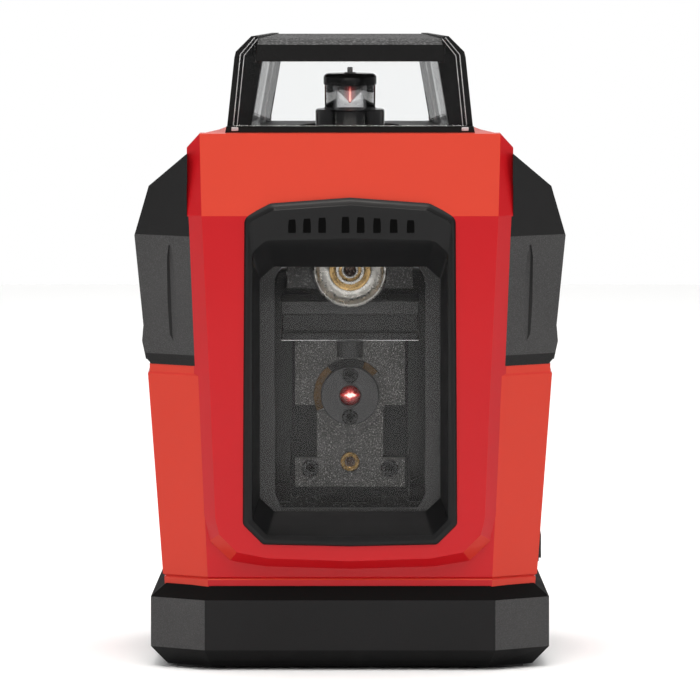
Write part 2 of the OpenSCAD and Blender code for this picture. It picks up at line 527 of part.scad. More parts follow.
// ---------------------------------------------------------------- battery bay
cell_z = [35.2, 49.6, 64.0];
cell_y = 31.3;
module battery_tray() color(black) difference() {
  box(-30.6, 30.6, 22.6, 39.0, 26.6, 72.6);
  box(-29.2, 29.2, 24.0, 50, 27.95, 71.25);
  for (z = cell_z) cyl_y(1.2, 20, 30, -20, z);
}
module battery_cells() color(steel) for (i = [0:2]) {
  s = (i % 2 == 0) ? 1 : -1;
  translate([0, cell_y, cell_z[i]]) scale([1, 1, 1]) mirror([s > 0 ? 0 : 1, 0, 0]) {
    rotate([0, 90, 0]) translate([0, 0, -cell_l / 2]) {
      cylinder(h = cell_l - 1.5, r = cell_r);
      cylinder(h = cell_l, r = 2.7);
    }
  }
}
module battery_contacts() color(brass) for (i = [0:2]) {
  s = (i % 2 == 0) ? 1 : -1;
  z = cell_z[i];
  translate([0, cell_y, z]) mirror([s > 0 ? 0 : 1, 0, 0]) {
    box(28.6, 29.18, -5, 5, -5.5, 5.5);
    cyl_x(2.2, cell_l / 2 + 0.02, 28.7);
    box(-29.18, -28.6, -5, 5, -5.5, 5.5);
    // conical spring, as coils
    for (k = [0:3]) translate([-28.6 + k * 0.9, 0, 0]) rotate([0, 90, 0]) difference() {
      cylinder(h = 0.6, r = 4.6 - k * 0.7);
      translate([0, 0, -1]) cylinder(h = 3, r = 3.8 - k * 0.7);
    }
    for (a = [0, 120, 240]) rotate([a, 0, 0]) box(-28.7, -cell_l / 2 - 0.02, -0.3, 0.3, 1.9, 2.4);
    for (a = [60, 180, 300]) rotate([a, 0, 0]) box(-28.7, -26.2, -0.3, 0.3, 2.0, 4.4);
  }
}
module hinge_pin() color(steel) cyl_x(pin_r, -34.2, 34.2, hinge_y, hinge_z);
module battery_door() color(red) difference() {
  union() {
    box(-31.2, 31.2, 40.0, 41.95, 24.9, 71.4);
    for (x = [-26, -9, 9, 26]) cyl_x(1.9, x - 4, x + 4, hinge_y, hinge_z);
    // stiffening ribs and finger ridge
    for (x = [-18, 0, 18]) box(x - 0.8, x + 0.8, 39.0, 40.2, 29, 60);
    for (z = [60.2, 61.6, 63.0]) box(-9, 9, 41.9, 42.4, z, z + 0.7);
  }
  cyl_x(pin_r + 0.06, -40, 40, hinge_y, hinge_z);
  box(-6.3, 6.3, 40.8, 45, 64.4, 73);
  box(-3.3, 3.3, 39, 45, 64.4, 70.6);
}
module door_latch() color(black) union() {
  box(-6.0, 6.0, 41.1, 42.6, 66.4, 71.3);
  box(-3.0, 3.0, 39.7, 41.2, 66.4, 70.3);
  box(-4.2, 4.2, 39.2, 39.7, 66.0, 70.3);
  for (z = [67.4, 68.8]) box(-4.5, 4.5, 42.5, 43.0, z, z + 0.6);
}

// ---------------------------------------------------------------- gimbal
module gimbal_ring() color(cast) difference() {
  box(-15.6, 15.6, py - 14.8, py + 14.8, 92.4, 101.6);
  box(-12.2, 12.2, py - 10.9, py + 10.9, 90, 104);
  cyl_y(3.6, -40, -20.5, 0, pz);
  cyl_y(3.6, 0, 20, 0, pz);
  both() cyl_x(1.45, 11, 20, py, pz);
}
module bearing_cups() color(steel) for (m = [0, 1]) translate([0, 2 * py * m, 0]) mirror([0, m, 0]) difference() {
  union() {
    cyl_y(9.2, py - 16.6, py - 14.82, 0, pz);
    cyl_y(7.0, py - 14.9, py - 14.82, 0, pz);
  }
  translate([0, py - 17.2, pz]) rotate([-90, 0, 0]) cylinder(h = 1.6, r = 7.6);
  cyl_y(3.6, -40, 0, 0, pz);
}
module roll_bearings() color(brass) for (m = [0, 1]) translate([0, 2 * py * m, 0]) mirror([0, m, 0]) difference() {
  union() { cyl_y(3.58, py - 17.2, py - 11.4, 0, pz); }
  cyl_y(1.5, -60, 60, 0, pz);
}
module pitch_pins() color(steel) both() cyl_x(1.45, 12.2, 21.8, py, pz);

// ---------------------------------------------------------------- pendulum
mod_z = 65.8;
module pendulum_yoke() color(cast) difference() {
  union() {
    cyl_z(8.0, 88, 127, 0, py);
    box(-9.6, 9.6, py - 9.4, py + 9.4, 88.5, 102.5);
    box(-17.1, 17.1, py - 12, py + 12, 85.7, 89.1);
    box(-15.6, 15.6, py - 9.2, py + 9.2, 81.9, 86);
    box(-17.1, 17.1, py - 12, py + 12, 79.2, 82);
  }
  cyl_z(6.0, 84.5, 130, 0, py);
  cyl_y(1.45, -60, 60, 0, pz);
}
module roll_pins() color(steel) for (m = [0, 1]) translate([0, 2 * py * m, 0]) mirror([0, m, 0])
  cyl_y(1.45, py - 16.9, py - 6.2, 0, pz);
module pendulum_block() color(cast) difference() {
  union() {
    box(-13.6, 13.6, py - 12, py + 12.2, 63.3, 79.18);
    box(-8.2, 8.2, py - 12, py + 12.2, 50, 64);
    box(-13.6, 13.6, py - 12, py + 12.2, 43, 50.1);
    box(-14.4, 14.4, py - 9, py + 12.2, 40.4, 79.18);
    cyl_z(3.3, 74.8, 79.18, 0, py - 12);
  }
  cyl_y(module_r, -60, py + 6, 0, mod_z);
  cyl_y(9.05, -60, py - 10.6, 0, mod_z);
  cyl_y(1.6, -60, py - 6, 0, 49.25);
  both() cyl_y(1.3, -60, py - 6, 9.8, 47.6);
  cyl_z(9.0, 30, 43.5, 0, py);
}
module vertical_laser_module() color(steel) difference() {
  union() { cyl_y(module_r, py - 15, py + 5, 0, mod_z); cyl_y(2.2, py + 4, py + 6, 0, mod_z); }
  cyl_y(2.6, -60, py - 13.2, 0, mod_z);
  for (z = [mod_z - 5.2, mod_z + 5.2]) cyl_y(1.3, -60, py - 9, 0, z);
}
module line_lens() color(clear) cyl_y(2.58, py - 14.6, py - 13.22, 0, mod_z);
module module_ring() color([0.72, 0.45, 0.25]) difference() {
  cyl_y(9.0, py - 12.4, py - 10.62, 0, mod_z);
  cyl_y(module_r, -60, 0, 0, mod_z);
  box(5.2, 12, -60, 0, mod_z - 12, mod_z + 1);
}
module pendulum_screws() color(black) {
  for (z = [mod_z - 5.2, mod_z + 5.2]) ring_screw(0, z, py - 15.9, py - 15, 1.95, 1.3, py - 9.1);
  both() ring_screw(9.8, 47.6, py - 13, py - 12, 2.2, 1.3, py - 6.1);
}
module ring_screw(x, z, y0, y1, r, rs, ye) difference() {
  union() { cyl_y(r, y0, y1 - 0.01, x, z); cyl_y(rs, y1 - 0.1, ye, x, z); }
  translate([x, y0 + 0.6, z]) rotate([90, 0, 0]) cylinder(h = 2, r = r * 0.5, $fn = 6);
}
module balance_screw() color(brass) difference() {
  union() { cyl_y(2.4, py - 13.1, py - 12.01, 0, 49.25); cyl_y(1.6, py - 12.1, py - 6.1, 0, 49.25); }
  box(-3, 3, -60, py - 12.6, 49.0, 49.5);
}
module counterweight() color(steel) intersection() {
  union() { cyl_z(8.98, 36, 43.45, 0, py); }
  translate([0, py, pz]) sphere(r = pz - 38, $fn = 96);
}
module horizontal_laser_module() color(brass) difference() {
  union() { cyl_z(5.98, 92, 129.4, 0, py); cyl_z(4.4, 129, 133.4, 0, py); cyl_z(2.0, 89.5, 92.5, 0, py); }
  cyl_z(3.2, 131.6, 140, 0, py);
}
module cone_collar() color(black) difference() {
  union() { cyl_z(8.6, 125.2, 136.1, 0, py); }
  cyl_z(8.02, 120, 127.02, 0, py);
  cyl_z(6.0, 120, 130, 0, py);
  cyl_z(4.5, 120, 140, 0, py);
  cyl_z(tube_r + 0.01, 133.5, 140, 0, py);
}
module cone_tube() color(clear) difference() {
  cyl_z(tube_r, 133.52, 142.0, 0, py);
  cyl_z(tube_r - 1.3, 130, 150, 0, py);
}
module cone_mirror() color(steel) union() {
  translate([0, py, 137.5]) cylinder(h = 4.45, r1 = 0, r2 = 4.45);
  cyl_z(4.45, 141.94, 142.02, 0, py);
}
module cone_cap() color(black) union() {
  cyl_z(tube_r + 0.1, 142.03, 144.3, 0, py);
  translate([0, py, 144.29]) cylinder(h = 0.6, r1 = tube_r + 0.1, r2 = tube_r - 0.7);
}
module cap_pin() color(steel) { cyl_z(0.7, 144.9, 146.4, 0, py); cyl_z(1.5, 144.9, 145.15, 0, py); }

// ---------------------------------------------------------------- lock
wedge_y = py - 2;
function wz(yl) = 25.2 - lock_slope * (yl - py);      // wedge top at a local Y
module lock_slider() color(black) union() {
  prism_x([[py - 11, 22.4], [py + 5, 22.4], [py + 5, wz(py + 5)], [py - 11, wz(py - 11)]], -5, 5);
  box(4.9, 45.2, py - 3, py + 3, 23.2, 26.5);
  box(44.85, 46.9, py - 7.0, py + 7.0, 23.9, 31.3);
  for (k = [-2:2]) box(46.8, 47.5, py + k * 2.4 - 0.6, py + k * 2.4 + 0.6, 24.6, 30.6);
}
module lock_plunger() color(steel) difference() {
  cyl_z(3.0, 20, 34.4, 0, py);
  prism_x([[py - 9, wz(py - 9) + 0.3], [py - 9, 10], [py + 9, 10], [py + 9, wz(py + 9) + 0.3]], -9, 9);
}
module brake_pad() color(rubber) cyl_z(5.0, 34.41, 38 - brake_gap - lock_travel * lock_slope, 0, py);

// ---------------------------------------------------------------- buttons
module button(x) on_slope() union() {
  cyl_z(4.2, -1.4, 1.5, x, 0);
  cyl_z(5.2, -2.0, -1.0, x, 0);
  cyl_z(1.2, -2.4, -1.9, x, 0);
  cyl_z(3.3, 1.4, 1.8, x, 0);
}
module mode_button() color(rubber) button(-9.5);
module pulse_button() color(red) button(9.5);

front_housing();
rear_housing();
side_grip_right();
side_grip_left();
base_boot();
base_plate();
tripod_insert();
rubber_feet();
base_screws();
housing_screws();
window_bezel();
window_gasket();
window_pane();
window_retainer();
guard_frame();
guard_pane_front();
guard_pane_rear();
guard_pane_left();
guard_pane_right();
guard_screws();
chassis();
chassis_screws();
pitch_bearings();
damping_magnets();
main_board();
board_components();
keypad_board();
control_panel();
status_lens();
battery_tray();
battery_cells();
battery_contacts();
hinge_pin();
gimbal_ring();
bearing_cups();
roll_bearings();
pitch_pins();
pendulum_block();
pendulum_yoke();
roll_pins();
horizontal_laser_module();
cone_collar();
cone_tube();
cone_mirror();
cone_cap();
cap_pin();
vertical_laser_module();
module_ring();
line_lens();
pendulum_screws();
balance_screw();
counterweight();
lock_slider();
lock_plunger();
brake_pad();
mode_button();
pulse_button();
battery_door();
door_latch();
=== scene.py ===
import json
import math

import bpy
import bmesh
from mathutils import Matrix, Vector

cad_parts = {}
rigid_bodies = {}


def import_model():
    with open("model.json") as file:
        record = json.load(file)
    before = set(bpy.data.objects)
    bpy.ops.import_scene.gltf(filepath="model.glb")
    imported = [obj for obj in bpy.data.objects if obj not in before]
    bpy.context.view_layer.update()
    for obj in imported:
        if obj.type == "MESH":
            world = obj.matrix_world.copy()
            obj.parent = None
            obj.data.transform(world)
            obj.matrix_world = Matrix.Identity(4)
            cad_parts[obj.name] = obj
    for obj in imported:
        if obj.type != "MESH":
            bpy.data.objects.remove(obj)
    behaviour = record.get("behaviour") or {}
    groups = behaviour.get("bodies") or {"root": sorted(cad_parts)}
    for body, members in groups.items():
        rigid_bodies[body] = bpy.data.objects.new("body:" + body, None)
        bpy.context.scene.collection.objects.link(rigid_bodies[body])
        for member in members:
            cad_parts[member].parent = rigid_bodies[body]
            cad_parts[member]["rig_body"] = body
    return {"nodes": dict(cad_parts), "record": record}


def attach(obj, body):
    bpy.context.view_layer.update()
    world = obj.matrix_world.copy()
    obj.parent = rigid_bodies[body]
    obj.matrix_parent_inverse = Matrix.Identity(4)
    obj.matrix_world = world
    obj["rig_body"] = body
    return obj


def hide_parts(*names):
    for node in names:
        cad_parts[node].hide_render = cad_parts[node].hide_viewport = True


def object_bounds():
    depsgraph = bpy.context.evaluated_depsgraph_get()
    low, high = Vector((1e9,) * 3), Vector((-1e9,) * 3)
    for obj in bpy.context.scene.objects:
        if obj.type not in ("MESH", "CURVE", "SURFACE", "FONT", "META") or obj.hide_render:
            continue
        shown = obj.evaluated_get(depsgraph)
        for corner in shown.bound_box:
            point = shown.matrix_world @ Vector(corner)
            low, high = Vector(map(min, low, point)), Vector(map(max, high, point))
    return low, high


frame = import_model()
cad_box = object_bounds()
NODES = frame["nodes"]
BODY = {n: o["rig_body"] for n, o in NODES.items()}
SLOT = {s["node"]: s["material_slot"] for s in frame["record"]["subparts"]}
MM = 0.001
sc = bpy.context.scene
sc.view_settings.view_transform = "Standard"
sc.view_settings.look = "None"


# ------------------------------------------------------------------ materials
def srgb(r, g, b):
    def f(c):
        c /= 255.0
        return c / 12.92 if c <= 0.04045 else ((c + 0.055) / 1.055) ** 2.4
    return (f(r), f(g), f(b), 1.0)


class Mat:
    """A small helper round one node tree."""

    def __init__(self, name):
        self.m = bpy.data.materials.new(name)
        self.m.use_nodes = True
        self.t = self.m.node_tree
        self.t.nodes.clear()
        self.out = self.n("ShaderNodeOutputMaterial")
        self.coord = self.n("ShaderNodeTexCoord")

    def n(self, kind, **props):
        node = self.t.nodes.new(kind)
        for k, v in props.items():
            setattr(node, k, v)
        return node

    def link(self, a, b):
        self.t.links.new(a, b)

    def noise(self, scale, detail=4.0, rough=0.55, dist=0.0):
        x = self.n("ShaderNodeTexNoise")
        x.inputs["Scale"].default_value = scale
        x.inputs["Detail"].default_value = detail
        x.inputs["Roughness"].default_value = rough
        x.inputs["Distortion"].default_value = dist
        self.link(self.coord.outputs["Object"], x.inputs["Vector"])
        return x.outputs["Fac"]

    def voronoi(self, scale, feature="F1"):
        x = self.n("ShaderNodeTexVoronoi", feature=feature)
        x.inputs["Scale"].default_value = scale
        self.link(self.coord.outputs["Object"], x.inputs["Vector"])
        return x.outputs["Distance"]

    def ramp(self, fac, stops):
        x = self.n("ShaderNodeValToRGB")
        e = x.color_ramp.elements
        e[0].position, e[0].color = stops[0]
        e[1].position, e[1].color = stops[-1]
        for p, c in stops[1:-1]:
            k = e.new(p)
            k.color = c
        self.link(fac, x.inputs["Fac"])
        return x.outputs["Color"]

    def span(self, fac, lo, hi, a=0.3, b=0.7):
        x = self.n("ShaderNodeMapRange")
        x.inputs["From Min"].default_value = a
        x.inputs["From Max"].default_value = b
        x.inputs["To Min"].default_value = lo
        x.inputs["To Max"].default_value = hi
        self.link(fac, x.inputs["Value"])
        return x.outputs["Result"]

    def bump(self, height, strength, distance, normal=None):
        x = self.n("ShaderNodeBump")
        x.inputs["Strength"].default_value = strength
        x.inputs["Distance"].default_value = distance
        self.link(height, x.inputs["Height"])
        if normal is not None:
            self.link(normal, x.inputs["Normal"])
        return x.outputs["Normal"]


def shade(c, k):
    return (min(1, c[0] * k), min(1, c[1] * k), min(1, c[2] * k), 1.0)


def solid(name, color, rough=(0.4, 0.5), metal=0.0, vary=0.08, grain=None, fine=None, coat=0.0, coat_rough=0.1,
          spec=0.5, edge=None, emission=None, speck=None, ior=1.5, mottle=40.0, painted_lit_tint=None):
    """A node-based surface: colour mottling, a roughness map, grain and edge wear, and, when a lit tint is given,
    painted light: that tint mixed in on faces that lean up or to the side.
    """
    k = Mat(name)
    b = k.n("ShaderNodeBsdfPrincipled")
    k.link(b.outputs["BSDF"], k.out.inputs["Surface"])
    wide = k.noise(mottle, 3.0)
    col = k.ramp(wide, [(0.3, shade(color, 1 - vary)), (0.7, shade(color, 1 + vary))])
    if painted_lit_tint:
        # painted light: faces that lean up, and the side facets, are mixed towards a lighter, warmer colour, standing
        # in for the light that falls on them from above and the sides
        sep = k.n("ShaderNodeSeparateXYZ")
        k.link(k.coord.outputs["Normal"], sep.inputs["Vector"])
        ax = k.n("ShaderNodeMath", operation="ABSOLUTE")
        k.link(sep.outputs["X"], ax.inputs[0])
        near = k.span(ax.outputs[0], 0.0, 0.8, 0.35, 0.55)
        far = k.span(ax.outputs[0], 1.0, 0.0, 0.62, 0.72)
        m1 = k.n("ShaderNodeMath", operation="MULTIPLY")
        k.link(near, m1.inputs[0])
        k.link(far, m1.inputs[1])
        m2 = k.n("ShaderNodeMath", operation="MAXIMUM")
        m3 = k.n("ShaderNodeMath", operation="MULTIPLY")
        k.link(k.span(sep.outputs["Z"], 0.0, 1.0, 0.03, 0.19), m3.inputs[0])
        k.link(k.span(ax.outputs[0], 1.0, 0.0, 0.30, 0.62), m3.inputs[1])
        k.link(m1.outputs[0], m2.inputs[0])
        k.link(m3.outputs[0], m2.inputs[1])
        mix = k.n("ShaderNodeMix", data_type="RGBA")
        k.link(m2.outputs[0], mix.inputs["Factor"])
        k.link(col, mix.inputs["A"])
        mix.inputs["B"].default_value = painted_lit_tint
        col = mix.outputs["Result"]
    if speck:
        pts = k.noise(speck[0], 2.0, 0.5)
        hit = k.ramp(pts, [(speck[1], (0, 0, 0, 1)), (speck[1] + speck[2], (1, 1, 1, 1))])
        mix = k.n("ShaderNodeMix", data_type="RGBA")
        k.link(hit, mix.inputs["Factor"])
        k.link(col, mix.inputs["A"])
        mix.inputs["B"].default_value = speck[3]
        col = mix.outputs["Result"]
    if edge:
        geo = k.n("ShaderNodeNewGeometry")
        worn = k.ramp(geo.outputs["Pointiness"], [(edge[0], (0, 0, 0, 1)), (edge[1], (1, 1, 1, 1))])
        patch = k.ramp(k.noise(edge[3] if len(edge) > 3 else 350.0, 5.0, 0.7), [(0.45, (0, 0, 0, 1)), (0.62, (1, 1, 1, 1))])
        mul = k.n("ShaderNodeMath", operation="MULTIPLY")
        k.link(worn, mul.inputs[0])
        k.link(patch, mul.inputs[1])
        mix = k.n("ShaderNodeMix", data_type="RGBA")
        k.link(mul.outputs[0], mix.inputs["Factor"])
        k.link(col, mix.inputs["A"])
        mix.inputs["B"].default_value = edge[2]
        col = mix.outputs["Result"]
    k.link(col, b.inputs["Base Color"])
    k.link(k.span(k.noise(mottle * 4.0, 5.0, 0.6), rough[0], rough[1]), b.inputs["Roughness"])
    b.inputs["Metallic"].default_value = metal
    b.inputs["IOR"].default_value = ior
    b.inputs["Specular IOR Level"].default_value = spec
    if coat:
        b.inputs["Coat Weight"].default_value = coat
        b.inputs["Coat Roughness"].default_value = coat_rough
    nrm = None
    if grain:
        h = k.voronoi(grain[0]) if len(grain) > 3 and grain[3] == "cells" else k.noise(grain[0], 3.0, 0.6)
        nrm = k.bump(h, grain[1], grain[2])
    if fine:
        nrm = k.bump(k.noise(fine[0], 2.0, 0.5), fine[1], fine[2], nrm)
    if nrm is not None:
        k.link(nrm, b.inputs["Normal"])
    if emission:
        b.inputs["Emission Color"].default_value = emission[0]
        b.inputs["Emission Strength"].default_value = emission[1]
    return k.m


def clear(name, tint=(0.93, 0.95, 0.95, 1.0), gloss=0.02, weight=1.0, film=0.0):
    """Thin clear pane: light goes straight through, with a Fresnel reflection on top."""
    k = Mat(name)
    tr = k.n("ShaderNodeBsdfTransparent")
    tr.inputs["Color"].default_value = tint
    gl = k.n("ShaderNodeBsdfGlossy")
    gl.inputs["Color"].default_value = (1, 1, 1, 1)
    gl.inputs["Roughness"].default_value = gloss
    lw = k.n("ShaderNodeFresnel")
    lw.inputs["IOR"].default_value = 1.45
    smear = k.span(k.noise(60.0, 4.0, 0.6), 0.9 * weight, 1.1 * weight)
    mul = k.n("ShaderNodeMath", operation="MULTIPLY")
    k.link(lw.outputs["Fac"], mul.inputs[0])
    k.link(smear, mul.inputs[1])
    mix = k.n("ShaderNodeMixShader")
    k.link(mul.outputs[0], mix.inputs["Fac"])
    k.link(tr.outputs["BSDF"], mix.inputs[1])
    k.link(gl.outputs["BSDF"], mix.inputs[2])
    last = mix
    if film:
        haze = k.n("ShaderNodeBsdfDiffuse")
        haze.inputs["Color"].default_value = (0.8, 0.8, 0.8, 1)
        last = k.n("ShaderNodeMixShader")
        last.inputs["Fac"].default_value = film
        k.link(mix.outputs["Shader"], last.inputs[1])
        k.link(haze.outputs["BSDF"], last.inputs[2])
    k.link(last.outputs["Shader"], k.out.inputs["Surface"])
    return k.m


M = {}
# painted light on the red shell: a lighter, warmer red on faces that lean up and on the side facets
M["red_shell"] = solid("red_plastic", (0.455, 0.0045, 0.0085, 1), rough=(0.40, 0.50), vary=0.025, grain=(2600.0, 0.10, 0.0001), fine=(9000.0, 0.05, 0.0001), spec=0.22, mottle=25.0, coat=0.15, coat_rough=0.10, painted_lit_tint=(0.562, 0.038, 0.0155, 1))
M["grip_rubber"] = solid("grip_rubber", (0.036, 0.036, 0.0365, 1), rough=(0.55, 0.70), vary=0.12, grain=(3400.0, 0.6, 0.0003), fine=(7000.0, 0.4, 0.0001), speck=(4600.0, 0.47, 0.2, (0.066, 0.066, 0.067, 1)), spec=0.30)
# painted shade on the grips and boot, chosen by face direction and height: the smooth black on faces that lean up or
# face front and on the upper grip is partly their real smooth finish and partly painted shade; the darkest on the
# boot's underside, the mid grey in the grip's groove and on its foot, and a near black with almost no sheen on the
# boot's top bevel are painted shade
M["grip_smooth_and_shade"] = solid("grip_smooth_and_shade", (0.0068, 0.0068, 0.0072, 1), rough=(0.42, 0.54), vary=0.10, grain=(2600.0, 0.25, 0.00015), fine=(6200.0, 0.2, 0.0001), spec=0.20)
M["underside_shade"] = solid("underside_shade", (0.0022, 0.0022, 0.0024, 1), rough=(0.50, 0.62), vary=0.10, grain=(2600.0, 0.25, 0.00015), fine=(6200.0, 0.2, 0.0001), spec=0.12)
M["grip_shade"] = solid("grip_shade", (0.0125, 0.0125, 0.0128, 1), rough=(0.50, 0.62), vary=0.12, grain=(3400.0, 0.5, 0.0003), fine=(7000.0, 0.3, 0.0001), spec=0.18)
M["boot_top_shade"] = solid("boot_top_shade", (0.0050, 0.0048, 0.0048, 1), rough=(0.60, 0.72), vary=0.08, spec=0.02)
M["guard_smooth"] = solid("guard_smooth", (0.0030, 0.0030, 0.0032, 1), rough=(0.38, 0.48), vary=0.10, grain=(2200.0, 0.3, 0.0002), spec=0.20)
# the rougher, lighter guard material goes on the top faces: real grain, and its lighter colour as painted light from
# above
M["guard_rough_and_lit"] = solid("guard_rough_and_lit", (0.022, 0.022, 0.023, 1), rough=(0.50, 0.66), vary=0.14, grain=(1100.0, 1.0, 0.0009), fine=(3200.0, 0.5, 0.0003), speck=(1500.0, 0.50, 0.16, (0.13, 0.13, 0.133, 1)), spec=0.35)
M["seal_rubber"] = solid("seal_rubber", (0.015, 0.015, 0.015, 1), rough=(0.6, 0.8), vary=0.1, grain=(2200.0, 0.2, 0.0002))
M["black_plastic"] = solid("black_plastic", (0.0075, 0.0075, 0.008, 1), rough=(0.36, 0.48), vary=0.1, grain=(2600.0, 0.16, 0.0002), fine=(9000.0, 0.1, 0.0001), spec=0.5)
M["grey_plastic"] = solid("grey_plastic", (0.020, 0.020, 0.020, 1), rough=(0.5, 0.65), vary=0.1, grain=(2400.0, 0.2, 0.0002))
M["plate_metal"] = solid("plate_metal", (0.32, 0.33, 0.34, 1), rough=(0.35, 0.5), metal=1.0, vary=0.1, grain=(1500.0, 0.15, 0.0002))
M["brass_insert"] = solid("brass", (0.55, 0.36, 0.13, 1), rough=(0.22, 0.36), metal=1.0, vary=0.18, grain=(1200.0, 0.08, 0.0001), mottle=300.0)
M["screw_steel"] = solid("screw_steel", (0.42, 0.42, 0.43, 1), rough=(0.25, 0.4), metal=1.0, vary=0.12, grain=(2500.0, 0.08, 0.0001), mottle=200.0)
M["black_screw"] = solid("black_oxide", (0.02, 0.02, 0.021, 1), rough=(0.3, 0.45), metal=0.6, vary=0.15, grain=(2500.0, 0.1, 0.0001), mottle=300.0)
M["bearing_steel"] = solid("bearing_steel", (0.62, 0.61, 0.58, 1), rough=(0.16, 0.34), metal=1.0, vary=0.12, grain=(700.0, 0.12, 0.0003), mottle=260.0)
M["barrel_steel"] = solid("barrel_dark", (0.05, 0.05, 0.05, 1), rough=(0.4, 0.55), metal=0.7, vary=0.15, grain=(2500.0, 0.15, 0.0002), mottle=200.0)
M["magnet_metal"] = solid("magnet_plate", (0.55, 0.55, 0.55, 1), rough=(0.18, 0.3), metal=1.0, vary=0.08, mottle=200.0)
M["dark_cast"] = solid("dark_cast", (0.045, 0.045, 0.044, 1), rough=(0.5, 0.7), metal=0.3, vary=0.2, grain=(1500.0, 0.5, 0.0005), speck=(2400.0, 0.60, 0.06, (0.16, 0.16, 0.155, 1)), mottle=180.0)
M["block_cast"] = solid("block_cast", (0.040, 0.040, 0.039, 1), rough=(0.42, 0.62), metal=0.45, vary=0.25, grain=(1300.0, 0.6, 0.0006), speck=(2000.0, 0.585, 0.06, (0.22, 0.215, 0.205, 1)), edge=(0.52, 0.58, (0.2, 0.2, 0.19, 1), 500.0), mottle=200.0)
M["cap_metal"] = solid("cap_dark", (0.02, 0.02, 0.021, 1), rough=(0.2, 0.32), metal=0.4, vary=0.1, coat=0.3)
M["clear_glass"] = clear("clear_pane", tint=(0.985, 0.988, 0.988, 1.0), gloss=0.02, weight=0.45)
M["window_glass"] = clear("window_pane", tint=(0.97, 0.972, 0.975, 1.0), gloss=0.03, weight=0.16, film=0.0085)
M["lens_glass"] = solid("red_lens", (0.5, 0.02, 0.015, 1), rough=(0.05, 0.1), vary=0.05, coat=0.8, coat_rough=0.03, emission=((1.0, 0.03, 0.02, 1), 1.6))
M["mirror_face"] = solid("mirror_face", (0.75, 0.74, 0.73, 1), rough=(0.04, 0.08), metal=1.0, vary=0.03)
M["copper_ring"] = solid("copper_ring", (0.22, 0.105, 0.04, 1), rough=(0.3, 0.5), metal=0.9, vary=0.3, grain=(900.0, 0.2, 0.0002), mottle=300.0)
M["board_green"] = solid("board_dark", (0.010, 0.018, 0.014, 1), rough=(0.3, 0.42), vary=0.15, coat=0.3, mottle=120.0)
M["lens_green"] = solid("lens_green", (0.05, 0.4, 0.12, 1), rough=(0.1, 0.2), vary=0.05, coat=0.5)
M["cell_jacket"] = solid("cell_jacket", (0.03, 0.035, 0.05, 1), rough=(0.2, 0.3), metal=0.2, vary=0.08, coat=0.5)
M["contact_metal"] = solid("contact_metal", (0.5, 0.48, 0.42, 1), rough=(0.2, 0.32), metal=1.0, vary=0.1, mottle=200.0)
M["red_button"] = solid("red_button", (0.40, 0.02, 0.02, 1), rough=(0.5, 0.6), vary=0.06, grain=(2200.0, 0.2, 0.0002))

for name, o in NODES.items():
    o.data.materials.clear()
    o.data.materials.append(M[SLOT[name]])


# ------------------------------------------------------------------ mesh tools
def link(o):
    bpy.context.scene.collection.objects.link(o)
    return o


def smooth(o, angle=40.0):
    for p in o.data.polygons:
        p.use_smooth = True
    o.data.set_sharp_from_angle(angle=math.radians(angle))
    return o


def finish_piece(o, node, also=(), mat=None, body=None):
    o.data.materials.clear()
    o.data.materials.append(mat or M[SLOT[node]])
    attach(o, body or BODY[node])
    if also is not None:
        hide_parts(node, *also)
    return o


def rounded_copy(node, width, segments=2, angle=25.0, name=None, dissolve=0.4, edit=None):
    """The CAD node's own shape, cleaned to flat faces and with its edges rounded."""
    src = NODES[node]
    bm = bmesh.new()
    bm.from_mesh(src.data)
    bmesh.ops.remove_doubles(bm, verts=bm.verts, dist=2e-6)
    bmesh.ops.dissolve_limit(bm, angle_limit=math.radians(dissolve), verts=bm.verts, edges=bm.edges, delimit={"NORMAL"})
    bmesh.ops.dissolve_degenerate(bm, dist=1e-6, edges=bm.edges)
    if edit:
        edit(bm)
    # outlines that run round holes are split up so that the edge rounding stays clean
    wide = [f for f in bm.faces if len(f.verts) > 12]
    bmesh.ops.triangulate(bm, faces=wide, quad_method="BEAUTY", ngon_method="BEAUTY")
    bmesh.ops.recalc_face_normals(bm, faces=bm.faces)
    me = bpy.data.meshes.new(name or node + "_skin")
    bm.to_mesh(me)
    bm.free()
    o = link(bpy.data.objects.new(name or node + "_skin", me))
    if width:
        b = o.modifiers.new("round", "BEVEL")
        b.width = width
        b.segments = segments
        b.limit_method = "ANGLE"
        b.angle_limit = math.radians(angle)
        b.use_clamp_overlap = True
        b.harden_normals = False
        b.miter_outer = "MITER_ARC"
        w = o.modifiers.new("weights", "WEIGHTED_NORMAL")
        w.keep_sharp = True
        w.weight = 80
    for p in o.data.polygons:
        p.use_smooth = True
    if not width:
        o.data.set_sharp_from_angle(angle=math.radians(35))
    return o


def keep(node, width=0.00025, segments=2, angle=30.0, **kw):
    o = rounded_copy(node, width, segments, angle, **kw)
    return finish_piece(o, node)


